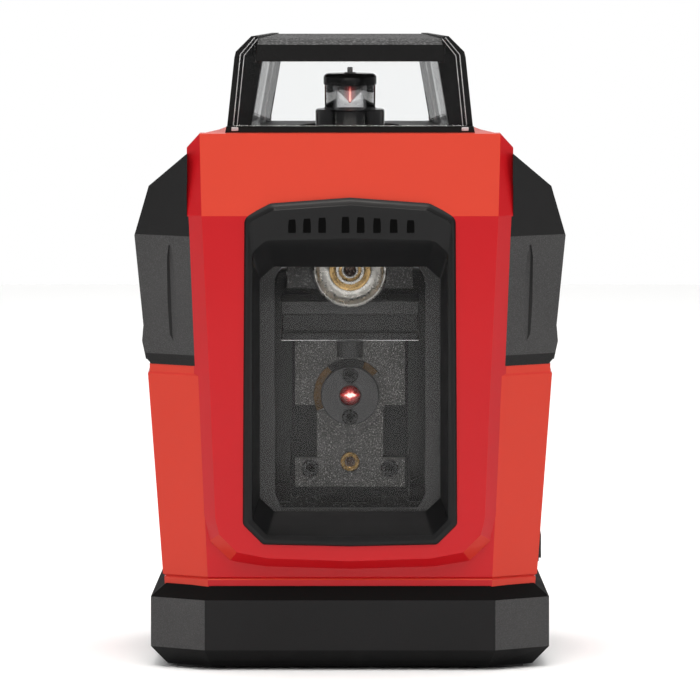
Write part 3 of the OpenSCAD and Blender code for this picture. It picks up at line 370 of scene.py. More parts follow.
def lathe(name, profile, steps=96, origin=(0, 0, 0), axis="Z"):
    """A turned shape: profile is [(radius, height), ...] in metres, bottom to top on the outside."""
    bm = bmesh.new()
    rings = []
    for r, h in profile:
        if r < 1e-7:
            rings.append([bm.verts.new((0, 0, h))])
        else:
            rings.append([bm.verts.new((r * math.cos(2 * math.pi * i / steps), r * math.sin(2 * math.pi * i / steps), h)) for i in range(steps)])
    for a, b in zip(rings, rings[1:]):
        if len(a) == 1 and len(b) == 1:
            continue
        if len(a) == 1:
            for i in range(steps):
                bm.faces.new((a[0], b[(i + 1) % steps], b[i]))
        elif len(b) == 1:
            for i in range(steps):
                bm.faces.new((a[i], a[(i + 1) % steps], b[0]))
        else:
            for i in range(steps):
                bm.faces.new((a[i], a[(i + 1) % steps], b[(i + 1) % steps], b[i]))
    bmesh.ops.recalc_face_normals(bm, faces=bm.faces)
    if axis == "-Y":      # profile heights run towards the front
        bmesh.ops.transform(bm, matrix=Matrix.Rotation(math.radians(90), 4, "X"), verts=bm.verts)
    elif axis == "X":
        bmesh.ops.transform(bm, matrix=Matrix.Rotation(math.radians(90), 4, "Y"), verts=bm.verts)
    bmesh.ops.translate(bm, vec=Vector(origin), verts=bm.verts)
    me = bpy.data.meshes.new(name)
    bm.to_mesh(me)
    bm.free()
    o = link(bpy.data.objects.new(name, me))
    return smooth(o, 32)


# ------------------------------------------------------------------ outlines
def closed(h):
    """Half outline (x, z), bottom middle to top middle, to a full one."""
    return list(h) + [(-x, z) for x, z in reversed(h) if x > 0]


def fillet(pts, radii, n=5):
    """Round each corner of a closed outline; every corner gets the same number of points."""
    out = []
    m = len(pts)
    for i in range(m):
        p = Vector(pts[i])
        a = Vector(pts[i - 1]) - p
        b = Vector(pts[(i + 1) % m]) - p
        r = radii[i] if i < len(radii) else 0
        la, lb = a.length, b.length
        a.normalize()
        b.normalize()
        cosang = max(-1, min(1, a.dot(b)))
        half = math.acos(cosang) / 2
        if r <= 0 or half > math.radians(89.0):
            out += [tuple(p)] * (n + 1)
            continue
        t = min(r / math.tan(half), la * 0.48, lb * 0.48)
        p0, p1 = p + a * t, p + b * t
        for k in range(n + 1):
            s = k / n
            q = p0.lerp(p, s).lerp(p.lerp(p1, s), s)
            out.append((q.x, q.y))
    return out


def loft_y(name, rings, close_ends=(False, False), angle=35.0):
    """rings: [(y_mm, outline)], outlines of equal length in (x, z) mm; a y may be a list per point."""
    bm = bmesh.new()
    vs = []
    for y, o in rings:
        vs.append([bm.verts.new((p[0] * MM, (y[i] if isinstance(y, list) else y) * MM, p[1] * MM)) for i, p in enumerate(o)])
    m = len(vs[0])
    for a, b in zip(vs, vs[1:]):
        for i in range(m):
            q = [a[i], a[(i + 1) % m], b[(i + 1) % m], b[i]]
            try:
                bm.faces.new(q)
            except ValueError:
                pass
    if close_ends[0]:
        bm.faces.new(list(reversed(vs[0])))
    if close_ends[1]:
        bm.faces.new(vs[-1])
    bmesh.ops.remove_doubles(bm, verts=bm.verts, dist=1e-6)
    bmesh.ops.dissolve_degenerate(bm, dist=1e-7, edges=bm.edges)
    bmesh.ops.recalc_face_normals(bm, faces=bm.faces)
    me = bpy.data.meshes.new(name)
    bm.to_mesh(me)
    bm.free()
    o = link(bpy.data.objects.new(name, me))
    return smooth(o, angle)


def block(name, boxes, width=0.00015, segments=2, angle=30):
    """Several separate or touching boxes (mm), edges rounded."""
    bm = bmesh.new()
    for x0, x1, y0, y1, z0, z1 in boxes:
        r = bmesh.ops.create_cube(bm, size=1.0)
        bmesh.ops.scale(bm, vec=((x1 - x0) * MM, (y1 - y0) * MM, (z1 - z0) * MM), verts=r["verts"])
        bmesh.ops.translate(bm, vec=((x0 + x1) / 2 * MM, (y0 + y1) / 2 * MM, (z0 + z1) / 2 * MM), verts=r["verts"])
    return bevelled(name, bm, width, segments, angle)


def bevelled(name, bm, width, segments=2, angle=30):
    bmesh.ops.recalc_face_normals(bm, faces=bm.faces)
    me = bpy.data.meshes.new(name)
    bm.to_mesh(me)
    bm.free()
    o = link(bpy.data.objects.new(name, me))
    if width:
        b = o.modifiers.new("round", "BEVEL")
        b.width = width
        b.segments = segments
        b.limit_method = "ANGLE"
        b.angle_limit = math.radians(angle)
        w = o.modifiers.new("weights", "WEIGHTED_NORMAL")
        w.weight = 80
    for p in o.data.polygons:
        p.use_smooth = True
    return o


def slab(name, outline, y0, y1, width=0.00015, segments=2, angle=30, holes=()):
    """A prism along Y from a closed (x, z) outline in mm, with round holes (x, z, r) right through."""
    bm = bmesh.new()
    if holes:
        edges = []
        for pts in [outline] + [[(x + r * math.cos(2 * math.pi * i / 48), z + r * math.sin(2 * math.pi * i / 48)) for i in range(48)] for x, z, r in holes]:
            v = [bm.verts.new((p[0] * MM, y0 * MM, p[1] * MM)) for p in pts]
            edges += [bm.edges.new((v[i], v[(i + 1) % len(v)])) for i in range(len(v))]
        bmesh.ops.triangle_fill(bm, use_beauty=True, edges=edges)
        faces = list(bm.faces)
    else:
        faces = [bm.faces.new([bm.verts.new((p[0] * MM, y0 * MM, p[1] * MM)) for p in outline])]
    r = bmesh.ops.extrude_face_region(bm, geom=faces)
    vs = [g for g in r["geom"] if isinstance(g, bmesh.types.BMVert)]
    bmesh.ops.translate(bm, vec=(0, (y1 - y0) * MM, 0), verts=vs)
    if holes:
        bmesh.ops.dissolve_limit(bm, angle_limit=0.001, verts=bm.verts, edges=bm.edges)
    return bevelled(name, bm, width, segments, angle)


def join(name, objs):
    """Join pieces into one object, modifiers applied."""
    dg = bpy.context.evaluated_depsgraph_get()
    bm = bmesh.new()
    for o in objs:
        me = bpy.data.meshes.new_from_object(o.evaluated_get(dg))
        bm.from_mesh(me)
    me = bpy.data.meshes.new(name)
    bm.to_mesh(me)
    bm.free()
    out = link(bpy.data.objects.new(name, me))
    for p in out.data.polygons:
        p.use_smooth = True
    out.data.set_sharp_from_angle(angle=math.radians(35))
    for o in objs:
        bpy.data.objects.remove(o)
    return out


# ------------------------------------------------------------------ window bezel
def ring(h, radii, n=6):
    """Half outline with one radius per half point, closed and filleted."""
    full = closed(h)
    rr = list(radii) + [r for (x, z), r in reversed(list(zip(h, radii))) if x > 0]
    return fillet(full, rr, n)


B_OUT = [(0, 30.4), (21.4, 30.85), (26.35, 35.8), (25.9, 111.3), (19.4, 114.6), (0, 116.0)]
B_RAD = [0, 1.6, 1.6, 2.4, 3.2, 0]


def b_in(dx, dz0, dz1):
    return [(x - dx if x > 0 else 0, z + dz0 if z < 70 else z - dz1) for x, z in B_OUT]


B_TOP = [(0, 31.6), (20.6, 32.1), (24.9, 36.4), (24.7, 110.0), (18.8, 112.9), (0, 114.2)]
B_LIP = [(0, 33.1), (20.2, 33.3), (23.9, 37.2), (23.9, 102.6), (20.6, 105.6), (0, 106.1)]
B_MID = [(0, 35.6), (19.4, 35.8), (23.2, 39.4), (23.2, 99.0), (19.8, 102.2), (0, 102.5)]
B_BACK = [(0, 38.3), (18.6, 38.3), (22.2, 41.6), (22.2, 95.5), (18.7, 98.6), (0, 98.6)]
neck_f = [(0, 31.4), (21.0, 31.7), (25.6, 36.3), (25.3, 107.6), (21.2, 110.0), (0, 110.4)]
neck_b = [(0, 35.4), (20.0, 35.4), (24.0, 39.4), (24.0, 98.0), (20.2, 101.6), (0, 101.6)]
r_lip = [0, 1.4, 1.4, 2.2, 2.6, 0]
r_in = [0, 1.2, 1.2, 1.8, 1.8, 0]
r_bk = [0, 0.9, 0.9, 0.9, 0.9, 0]


def mixr(a, b, t):
    return [(p[0] * (1 - t) + q[0] * t, p[1] * (1 - t) + q[1] * t) for p, q in zip(a, b)]


def ymix(o, lo, hi, ylo, yhi):
    """Depth per point by height: ylo below lo, yhi above hi."""
    return [ylo if z <= lo else (yhi if z >= hi else ylo + (yhi - ylo) * (z - lo) / (hi - lo)) for x, z in o]


o0 = ring(B_OUT, B_RAD)
o1 = ring(b_in(0.12, 0.12, 0.25), B_RAD)
o2 = ring(b_in(0.4, 0.4, 0.9), B_RAD)
o3 = ring(b_in(0.8, 0.8, 1.55), B_RAD)
t0 = ring(B_TOP, B_RAD)
t1 = ring(mixr(B_TOP, B_LIP, 0.16), [0, 1.5, 1.5, 2.4, 2.8, 0])
l0 = ring(mixr(B_TOP, B_LIP, 0.86), r_lip)
l1 = ring(B_LIP, r_lip)
l2 = ring(mixr(B_LIP, B_MID, 0.22), r_lip)
m1 = ring(B_MID, r_in)
k1 = ring(B_BACK, r_bk)
rings = [
    (-43.0, o0), (-44.75, o0), (-45.1, o1), (-45.5, o2), (-45.74, o3), (-45.84, t0),
    (ymix(t1, 100, 108, -45.78, -45.62), t1),
    (ymix(l0, 98, 104, -45.72, -45.16), l0),
    (ymix(l1, 98, 104, -45.45, -45.0), l1),
    (ymix(l2, 98, 104, -44.7, -44.3), l2),
    (-41.2, m1), (-36.72, k1), (-36.62, ring(b_b := [(x + 0.5 if x > 0 else 0, z - 0.5 if z < 70 else z + 0.5) for x, z in B_BACK], r_bk)),
    (-36.62, ring(neck_b, r_bk)), (-42.95, ring(neck_f, r_in)), (-43.0, o0),
]
bezel = loft_y("bezel_body", rings, angle=24)
bars = []
for x in (-14.15, -10.5, -6.8, -1.1, 2.6, 6.6, 10.65, 14.8):
    bars.append(block("bar", [(x - 0.95, x + 0.95, -45.5, -45.0, 107.4, 111.8)], 0.00022, 3))
bezel_bars = join("bezel_bars", bars)
M["bezel_black"] = solid("bezel_black", (0.0058, 0.0060, 0.0064, 1), rough=(0.30, 0.38), vary=0.06, grain=(3200.0, 0.05, 0.0001), spec=0.20)
M["gloss_black"] = solid("gloss_black", (0.0006, 0.0006, 0.0006, 1), rough=(0.30, 0.40), vary=0.1, grain=(3200.0, 0.05, 0.0001), spec=0.06)
M["bezel_sill_shade"] = solid("bezel_sill_shade", (0.0036, 0.0037, 0.0041, 1), rough=(0.36, 0.46), vary=0.06, grain=(3200.0, 0.05, 0.0001), spec=0.14)
bezel = finish_piece(bezel, "window_bezel", mat=M["bezel_black"])
bezel.data.materials.append(M["bezel_sill_shade"])
# painted shade: the bezel's upward faces under the window take a darker, less glossy black
for p in bezel.data.polygons:
    if p.normal.z > 0.3 and p.center.z < 0.050 and p.center.y > -0.0455:
        p.material_index = 1
finish_piece(bezel_bars, "window_bezel", mat=M["gloss_black"])

# ------------------------------------------------------------------ pendulum seen through the window
PY = -10.0
PZ = 97.0
MZ = 65.8
M["cast_face"] = solid("cast_face", (0.055, 0.054, 0.052, 1), rough=(0.38, 0.58), metal=0.55, vary=0.2, grain=(2600.0, 0.35, 0.0002), speck=(3400.0, 0.585, 0.05, (0.28, 0.275, 0.265, 1)), mottle=160.0)
# dark cast, also used as painted shade on the block body, the yoke above its shelf and the top arc of the ring
M["cast_dark_and_shade"] = solid("cast_dark_and_shade", (0.015, 0.015, 0.015, 1), rough=(0.5, 0.7), metal=0.2, vary=0.2, grain=(2600.0, 0.3, 0.0002), mottle=160.0, spec=0.3)
M["cast_mid_and_lit"] = solid("cast_mid_and_lit", (0.040, 0.040, 0.040, 1), rough=(0.4, 0.6), metal=0.4, vary=0.15, grain=(2800.0, 0.3, 0.0002), speck=(3600.0, 0.60, 0.06, (0.1, 0.1, 0.098, 1)), mottle=160.0)
M["disc_grey"] = solid("disc_grey", (0.050, 0.050, 0.051, 1), rough=(0.42, 0.5), metal=0.3, vary=0.06, grain=(4200.0, 0.1, 0.0001), mottle=260.0, spec=0.4)
M["hex_black"] = solid("hex_black", (0.012, 0.012, 0.012, 1), rough=(0.22, 0.34), metal=0.5, vary=0.1, mottle=300.0)

yf = PY - 12.0
# darker cast for the yoke's recess and band, painted shade
M["band_shade"] = solid("band_shade", (0.022, 0.022, 0.022, 1), rough=(0.4, 0.55), metal=0.3, vary=0.15, grain=(2800.0, 0.2, 0.0002), mottle=120.0, spec=0.4)
T = [(13.6, 43.0), (13.6, 50.1), (8.2, 50.1), (8.2, 63.3), (13.6, 63.3), (13.6, 79.18)]
t_out = T + [(-x, z) for x, z in reversed(T)]
t_plate = slab("block_plate", t_out, yf, PY - 8.9, 0.00028, 2, holes=((0, MZ, 9.05), (0, 49.25, 1.62), (9.8, 47.6, 1.32), (-9.8, 47.6, 1.32)))
finish_piece(t_plate, "pendulum_block", mat=M["cast_face"])
body = rounded_copy("pendulum_block", 0.0002, 2, 30, name="block_body")


def cut_front(o, y):
    """Keep only what lies behind the plane y (mm)."""
    bm = bmesh.new()
    bm.from_mesh(o.data)
    g = list(bm.verts) + list(bm.edges) + list(bm.faces)
    r = bmesh.ops.bisect_plane(bm, geom=g, plane_co=(0, y * MM, 0), plane_no=(0, 1, 0), clear_inner=True)
    edges = [e for e in r["geom_cut"] if isinstance(e, bmesh.types.BMEdge)]
    bmesh.ops.holes_fill(bm, edges=edges)
    bm.to_mesh(o.data)
    bm.free()


# the block behind the front plate is coloured near black, painted shade for the deep recesses beside the stem
cut_front(body, PY - 8.95)
finish_piece(body, "pendulum_block", mat=M["cast_dark_and_shade"])
# raised pad seen below the brass screw and the upright post
pad = block("block_pad", [(-1.7, 1.7, yf - 0.12, yf + 0.3, 44.7, 46.9)], 0.0001)
finish_piece(pad, "pendulum_block", mat=M["cast_face"])
post = lathe("block_post", [(0, 0.0752), (0.0033, 0.0752), (0.0033, 0.0791), (0.0, 0.0791)], 64, (0, (yf + 0.2) * MM, 0))
finish_piece(post, "pendulum_block", mat=M["cast_mid_and_lit"])
mark = []
for x0, x1, z0, z1 in ((-1.1, 1.1, 55.6, 56.1), (-1.1, 1.1, 53.7, 54.2), (-1.1, 1.1, 51.8, 52.3)):
    mark.append(block("m", [(x0, x1, yf - 0.14, yf + 0.2, z0, z1)], 0.00006))
marks = join("block_marks", mark)
finish_piece(marks, "pendulum_block", mat=M["cast_mid_and_lit"])

# yoke: shelf, recess with a rolled band, thin bright lip; the shelf is coloured lighter than the rest of the yoke as
# painted light, and the recess, the band and the yoke above the shelf darker as painted shade
shelf = block("yoke_shelf", [(-17.1, 17.1, yf, PY + 12, 85.7, 89.1)], 0.00035, 3)
finish_piece(shelf, "pendulum_yoke", mat=M["cast_mid_and_lit"])
lower = block("yoke_lower", [(-17.1, 17.1, yf, PY + 12, 79.25, 81.4)], 0.0005, 3)
finish_piece(lower, "pendulum_yoke", mat=M["band_shade"])
lip = block("yoke_lip", [(-17.05, 17.05, yf - 0.02, yf + 0.4, 79.2, 79.5)], 0.0001, 2)
finish_piece(lip, "pendulum_yoke", mat=M["magnet_metal"])
prof = [(15.55, 81.9), (15.55, 86.0)]
waist = block("yoke_waist", [(-17.0, 17.0, PY - 10.9, PY + 9.2, 80.6, 86.0)], 0.0006, 3)
finish_piece(waist, "pendulum_yoke", mat=M["band_shade"])
upper = rounded_copy("pendulum_yoke", 0.0003, 2, 30, name="yoke_body")


def cut_below(o, z):
    bm = bmesh.new()
    bm.from_mesh(o.data)
    g = list(bm.verts) + list(bm.edges) + list(bm.faces)
    r = bmesh.ops.bisect_plane(bm, geom=g, plane_co=(0, 0, z * MM), plane_no=(0, 0, 1), clear_inner=True)
    edges = [e for e in r["geom_cut"] if isinstance(e, bmesh.types.BMEdge)]
    bmesh.ops.holes_fill(bm, edges=edges)
    bm.to_mesh(o.data)
    bm.free()


# the yoke above the shelf is coloured near black, painted shade
cut_below(upper, 88.9)
finish_piece(upper, "pendulum_yoke", mat=M["cast_dark_and_shade"])

# dished gimbal cup, its seal rings and the bearing (front, and the same at the rear)
def mirrored_y(prof_y):
    return [(r * MM, h * MM) for r, h in prof_y]


M["cup_steel"] = solid("cup_steel", (0.50, 0.485, 0.45, 1), rough=(0.2, 0.42), metal=0.95, vary=0.22, grain=(520.0, 0.28, 0.0005), mottle=220.0)
M["brass_dim"] = solid("brass_dim", (0.20, 0.125, 0.045, 1), rough=(0.2, 0.36), metal=1.0, vary=0.5, grain=(900.0, 0.35, 0.0003), mottle=700.0)
M["brass_ring"] = solid("brass_ring", (0.50, 0.33, 0.14, 1), rough=(0.2, 0.4), metal=1.0, vary=0.3, grain=(900.0, 0.25, 0.0002), mottle=420.0)
M["bore_brown"] = solid("bore_brown", (0.05, 0.030, 0.022, 1), rough=(0.2, 0.35), metal=0.7, vary=0.2, mottle=400.0)
for side in (1, -1):
    s = "front" if side > 0 else "rear"
    def turned(name, prof):
        o = lathe(name + "_" + s, [(r * MM, h * MM) for r, h in prof], 112)
        # profile height is the distance out from the pivot along -Y (front) or +Y (rear)
        rot = Matrix.Rotation(math.radians(90 * side), 4, "X")
        o.data.transform(Matrix.Translation((0, PY * MM, PZ * MM)) @ rot)
        return o
    cup = turned("cup", [(3.66, 14.84), (9.0, 14.84), (9.2, 15.0), (9.2, 15.9), (9.1, 16.25), (8.8, 16.45), (8.45, 16.4), (8.1, 16.1), (7.7, 15.55), (7.0, 15.2), (6.2, 15.08), (5.3, 15.2), (4.9, 15.5), (4.5, 15.62), (4.1, 15.6), (3.66, 15.4), (3.66, 14.84)])
    finish_piece(cup, "bearing_cups", mat=M["cup_steel"])
    gold = turned("cup_ring", [(3.6, 15.35), (5.0, 15.45), (5.15, 15.75), (4.95, 16.0), (4.4, 16.1), (3.9, 16.0), (3.64, 15.8), (3.6, 15.35)])
    finish_piece(gold, "bearing_cups", mat=M["brass_ring"])
    outer = turned("race_outer", [(2.75, 11.5), (3.5, 11.5), (3.55, 11.7), (3.55, 16.9), (3.4, 17.15), (2.9, 17.15), (2.75, 16.95), (2.75, 11.5)])
    finish_piece(outer, "roll_bearings", mat=M["bearing_steel"])
    shield = turned("race_shield", [(2.05, 16.2), (2.74, 16.2), (2.74, 16.6), (2.45, 16.72), (2.05, 16.6), (2.05, 16.2)])
    finish_piece(shield, "roll_bearings", mat=M["brass_ring"])
    inner = turned("race_inner", [(1.52, 11.5), (2.04, 11.5), (2.04, 16.9), (1.9, 17.05), (1.65, 17.05), (1.52, 16.9), (1.52, 11.5)])
    finish_piece(inner, "roll_bearings", mat=M["bearing_steel"])
    pin = turned("roll_pin", [(0, 6.3), (1.3, 6.3), (1.44, 6.45), (1.44, 16.3), (1.2, 16.55), (0.7, 16.5), (0.55, 16.1), (0, 16.05)])
    finish_piece(pin, "roll_pins", mat=M["bore_brown"])

# vertical-line module: barrel, face disc, ring arcs, screws, glowing aperture
mod = lathe("module_barrel", [(2.6 * MM, 13.25 * MM), (2.6 * MM, 14.6 * MM), (2.85 * MM, 15.0 * MM), (6.95 * MM, 15.0 * MM), (7.18 * MM, 14.8 * MM), (7.18 * MM, -4.9 * MM), (2.2 * MM, -5.0 * MM), (2.2 * MM, -5.9 * MM), (0, -5.9 * MM)], 112, axis="-Y")
mod.data.transform(Matrix.Translation((0, PY * MM, MZ * MM)))
finish_piece(mod, "vertical_laser_module", mat=M["disc_grey"])


def arc_ring(name, r0, r1, y0, y1, a0, a1, mat, node, steps=72):
    """A curved band round the module axis; angles in degrees from +X towards +Z."""
    bm = bmesh.new()
    prev = None
    first = None
    n = max(4, int(steps * abs(a1 - a0) / 360))
    for i in range(n + 1):
        a = math.radians(a0 + (a1 - a0) * i / n)
        c, s = math.cos(a), math.sin(a)
        v = [bm.verts.new(((r * c) * MM, y * MM, (MZ + r * s) * MM)) for r, y in ((r0, y0), (r1, y0 + 0.15), (r1, y1), (r0, y1))]
        if prev:
            for k in range(4):
                bm.faces.new((prev[k], prev[(k + 1) % 4], v[(k + 1) % 4], v[k]))
        else:
            first = v
        prev = v
    bm.faces.new(first)
    bm.faces.new(list(reversed(prev)))
    o = bevelled(name, bm, 0.0001, 2, 40)
    return finish_piece(o, node, mat=mat)


M["gold_brown"] = solid("gold_brown", (0.085, 0.05, 0.02, 1), rough=(0.28, 0.5), metal=0.85, vary=0.45, grain=(1100.0, 0.3, 0.0003), mottle=520.0)
# one ring in four arcs: copper at the left and right, the top arc near black as painted shade, the lower arc in the
# plate's grey
arc_ring("ring_left", 7.22, 9.0, PY - 12.38, PY - 10.7, 128, 206, M["gold_brown"], "module_ring")
arc_ring("ring_right", 7.22, 9.0, PY - 12.38, PY - 10.7, 40, 66, M["gold_brown"], "module_ring")
arc_ring("ring_top", 7.22, 9.0, PY - 12.2, PY - 10.7, 66, 128, M["cast_dark_and_shade"], "module_ring")
arc_ring("ring_low", 7.24, 9.02, PY - 11.96, PY - 10.7, 206, 400, M["cast_face"], "module_ring")


def hex_screw(name, x, z, y_face, r, hexr, body, node, mat, socket_shade_mat, depth=0.9, shank=(1.28, -19.1)):
    """Socket-head screw seen from the front, axis along Y; y in mm, front face at y_face."""
    st = 64
    o = lathe(name, [(hexr * 1.02 * MM, -depth * MM), (hexr * 1.02 * MM, -0.08 * MM), (hexr * 1.12 * MM, 0), ((r - 0.18) * MM, 0), (r * MM, -0.16 * MM), (r * MM, -0.88 * MM), (shank[0] * MM, -0.9 * MM), (shank[0] * MM, (y_face - shank[1]) * MM), (0, (y_face - shank[1]) * MM)], st, axis="-Y")
    o.data.transform(Matrix.Translation((x * MM, y_face * MM, z * MM)))
    finish_piece(o, node, mat=mat)
    # the socket's inside takes a darker material than the head, painted shade in the recess
    bm = bmesh.new()
    v0 = [bm.verts.new(((x + hexr * math.cos(math.radians(60 * i + 30))) * MM, (y_face + 0.25) * MM, (z + hexr * math.sin(math.radians(60 * i + 30))) * MM)) for i in range(6)]
    v1 = [bm.verts.new((v.co.x, (y_face + 0.8) * MM, v.co.z)) for v in v0]
    w0 = [bm.verts.new(((x + hexr * 1.25 * math.cos(math.radians(60 * i + 30))) * MM, (y_face + 0.26) * MM, (z + hexr * 1.25 * math.sin(math.radians(60 * i + 30))) * MM)) for i in range(6)]
    for i in range(6):
        j = (i + 1) % 6
        bm.faces.new((v0[i], v0[j], v1[j], v1[i]))
        bm.faces.new((w0[i], w0[j], v0[j], v0[i]))
    bm.faces.new(v1)
    k = bevelled(name + "_socket", bm, 0)
    k.data.set_sharp_from_angle(angle=math.radians(30))
    finish_piece(k, node, mat=socket_shade_mat)


for i, z in enumerate((MZ + 5.2, MZ - 5.2)):
    hex_screw("ring_screw_%d" % i, 0.0, z, PY - 15.86, 1.93, 0.85, "pendulum", "pendulum_screws", M["hex_black"], M["gloss_black"])
for i, x in enumerate((9.8, -9.8)):
    hex_screw("block_screw_%d" % i, x, 47.6, PY - 12.95, 2.18, 1.0, "pendulum", "pendulum_screws", M["hex_black"], M["gloss_black"], shank=(1.28, -16.1))
hex_screw("brass_screw", 0.0, 49.25, PY - 13.05, 2.38, 1.25, "pendulum", "balance_screw", M["brass_dim"], M["bore_brown"], shank=(1.58, -16.1))

# the glowing aperture: a domed lens with a bright core; the soft halo and the short horizontal streak round it are
# painted glare on the lens
M["aperture"] = solid("aperture_red", (0.35, 0.01, 0.01, 1), rough=(0.08, 0.14), vary=0.05, coat=0.7, coat_rough=0.04)


def glow_lens():
    k = Mat("aperture_glow")
    b = k.n("ShaderNodeBsdfPrincipled")
    b.inputs["Base Color"].default_value = (0.12, 0.004, 0.004, 1)
    b.inputs["Roughness"].default_value = 0.12
    sep = k.n("ShaderNodeSeparateXYZ")
    k.link(k.coord.outputs["Object"], sep.inputs["Vector"])

    def math_n(op, a, b2=None, v=None):
        m = k.n("ShaderNodeMath", operation=op)
        k.link(a, m.inputs[0])
        if b2 is not None:
            k.link(b2, m.inputs[1])
        if v is not None:
            m.inputs[1].default_value = v
        return m.outputs[0]
    dx = math_n("ABSOLUTE", math_n("ADD", sep.outputs["X"], v=0.0))
    dz = math_n("ABSOLUTE", math_n("ADD", sep.outputs["Z"], v=-(MZ + 0.15) * MM))
    r2 = math_n("SQRT", math_n("ADD", math_n("MULTIPLY", dx, dx), math_n("MULTIPLY", dz, dz)))
    core = k.span(r2, 1.0, 0.0, 0.0002, 0.00125)
    wide = k.span(r2, 1.0, 0.0, 0.0005, 0.0026)
    sx = k.span(dx, 1.0, 0.0, 0.0004, 0.0026)
    sz = k.span(dz, 1.0, 0.0, 0.0, 0.00055)
    streak = math_n("MULTIPLY", sx, sz)
    broken = k.span(k.noise(1500.0, 4.0, 0.7), 0.25, 1.3, 0.35, 0.65)
    streak = math_n("MULTIPLY", streak, broken)
    w2 = math_n("MULTIPLY", math_n("MULTIPLY", wide, wide), broken)
    c2 = math_n("POWER", core, v=2.0)
    total = math_n("ADD", math_n("ADD", math_n("MULTIPLY", w2, v=0.9), math_n("MULTIPLY", streak, v=1.7)), math_n("MULTIPLY", math_n("MULTIPLY", c2, broken), v=1.05))
    col = k.ramp(total, [(0.0, (0.25, 0.0, 0.0, 1)), (0.3, (0.9, 0.02, 0.02, 1)), (0.72, (1.0, 0.12, 0.10, 1)), (1.0, (1.0, 0.62, 0.55, 1))])
    k.link(col, b.inputs["Emission Color"])
    k.link(total, b.inputs["Emission Strength"])
    k.link(b.outputs["BSDF"], k.out.inputs["Surface"])
    return k.m


lens = lathe("line_lens_dome", [(0, 14.55 * MM), (1.0 * MM, 14.45 * MM), (2.0 * MM, 14.1 * MM), (2.55 * MM, 13.7 * MM), (2.55 * MM, 13.25 * MM), (0, 13.25 * MM)], 80, axis="-Y")
lens.data.transform(Matrix.Translation((0, PY * MM, MZ * MM)))
finish_piece(lens, "line_lens", mat=glow_lens())

# ------------------------------------------------------------------ cone head in the guard
def turned_z(name, node, prof, mat, steps=128):
    o = lathe(name, [(r * MM, z * MM) for r, z in prof], steps, (0, PY * MM, 0))
    return finish_piece(o, node, mat=mat)


M["collar_black"] = solid("collar_black", (0.0025, 0.0025, 0.0027, 1), rough=(0.14, 0.22), vary=0.08, grain=(3000.0, 0.04, 0.0001), spec=0.5)
turned_z("collar", "cone_collar", [(8.05, 125.25), (8.35, 125.25), (8.58, 125.5), (8.58, 135.6), (8.4, 135.95), (8.1, 136.08), (6.75, 136.08), (6.55, 135.9), (6.55, 133.52), (4.52, 133.52), (4.52, 130.05), (6.02, 130.0), (6.02, 127.05), (8.05, 127.0), (8.05, 125.25)], M["collar_black"])


def tube_mat():
    """Clear tube: bright through the middle, darkening where the wall is seen edge-on; the dark bands near the rim are
    painted, standing in for dark parts refracted through the wall.
    """
    k = Mat("tube_glass")
    lw = k.n("ShaderNodeLayerWeight")
    lw.inputs["Blend"].default_value = 0.5
    dark = k.ramp(lw.outputs["Facing"], [(0.0, (0.97, 0.97, 0.972, 1)), (0.50, (0.93, 0.93, 0.935, 1)), (0.66, (0.42, 0.42, 0.43, 1)), (0.78, (0.16, 0.16, 0.165, 1)), (0.9, (0.55, 0.55, 0.56, 1)), (1.0, (0.42, 0.42, 0.43, 1))])
    tr = k.n("ShaderNodeBsdfTransparent")
    k.link(dark, tr.inputs["Color"])
    gl = k.n("ShaderNodeBsdfGlossy")
    gl.inputs["Color"].default_value = (1, 1, 1, 1)
    gl.inputs["Roughness"].default_value = 0.03
    fr = k.n("ShaderNodeFresnel")
    fr.inputs["IOR"].default_value = 1.5
    smear = k.span(k.noise(120.0, 3.0, 0.6), 3.6, 4.4)
    mul = k.n("ShaderNodeMath", operation="MULTIPLY")
    k.link(fr.outputs["Fac"], mul.inputs[0])
    k.link(smear, mul.inputs[1])
    mix = k.n("ShaderNodeMixShader")
    mul.use_clamp = True
    k.link(mul.outputs[0], mix.inputs["Fac"])
    k.link(tr.outputs["BSDF"], mix.inputs[1])
    k.link(gl.outputs["BSDF"], mix.inputs[2])
    k.link(mix.outputs["Shader"], k.out.inputs["Surface"])
    return k.m


turned_z("tube", "cone_tube", [(5.22, 133.56), (6.42, 133.56), (6.49, 133.7), (6.49, 141.9), (6.42, 141.99), (5.28, 141.99), (5.22, 141.9), (5.22, 133.56)], tube_mat())


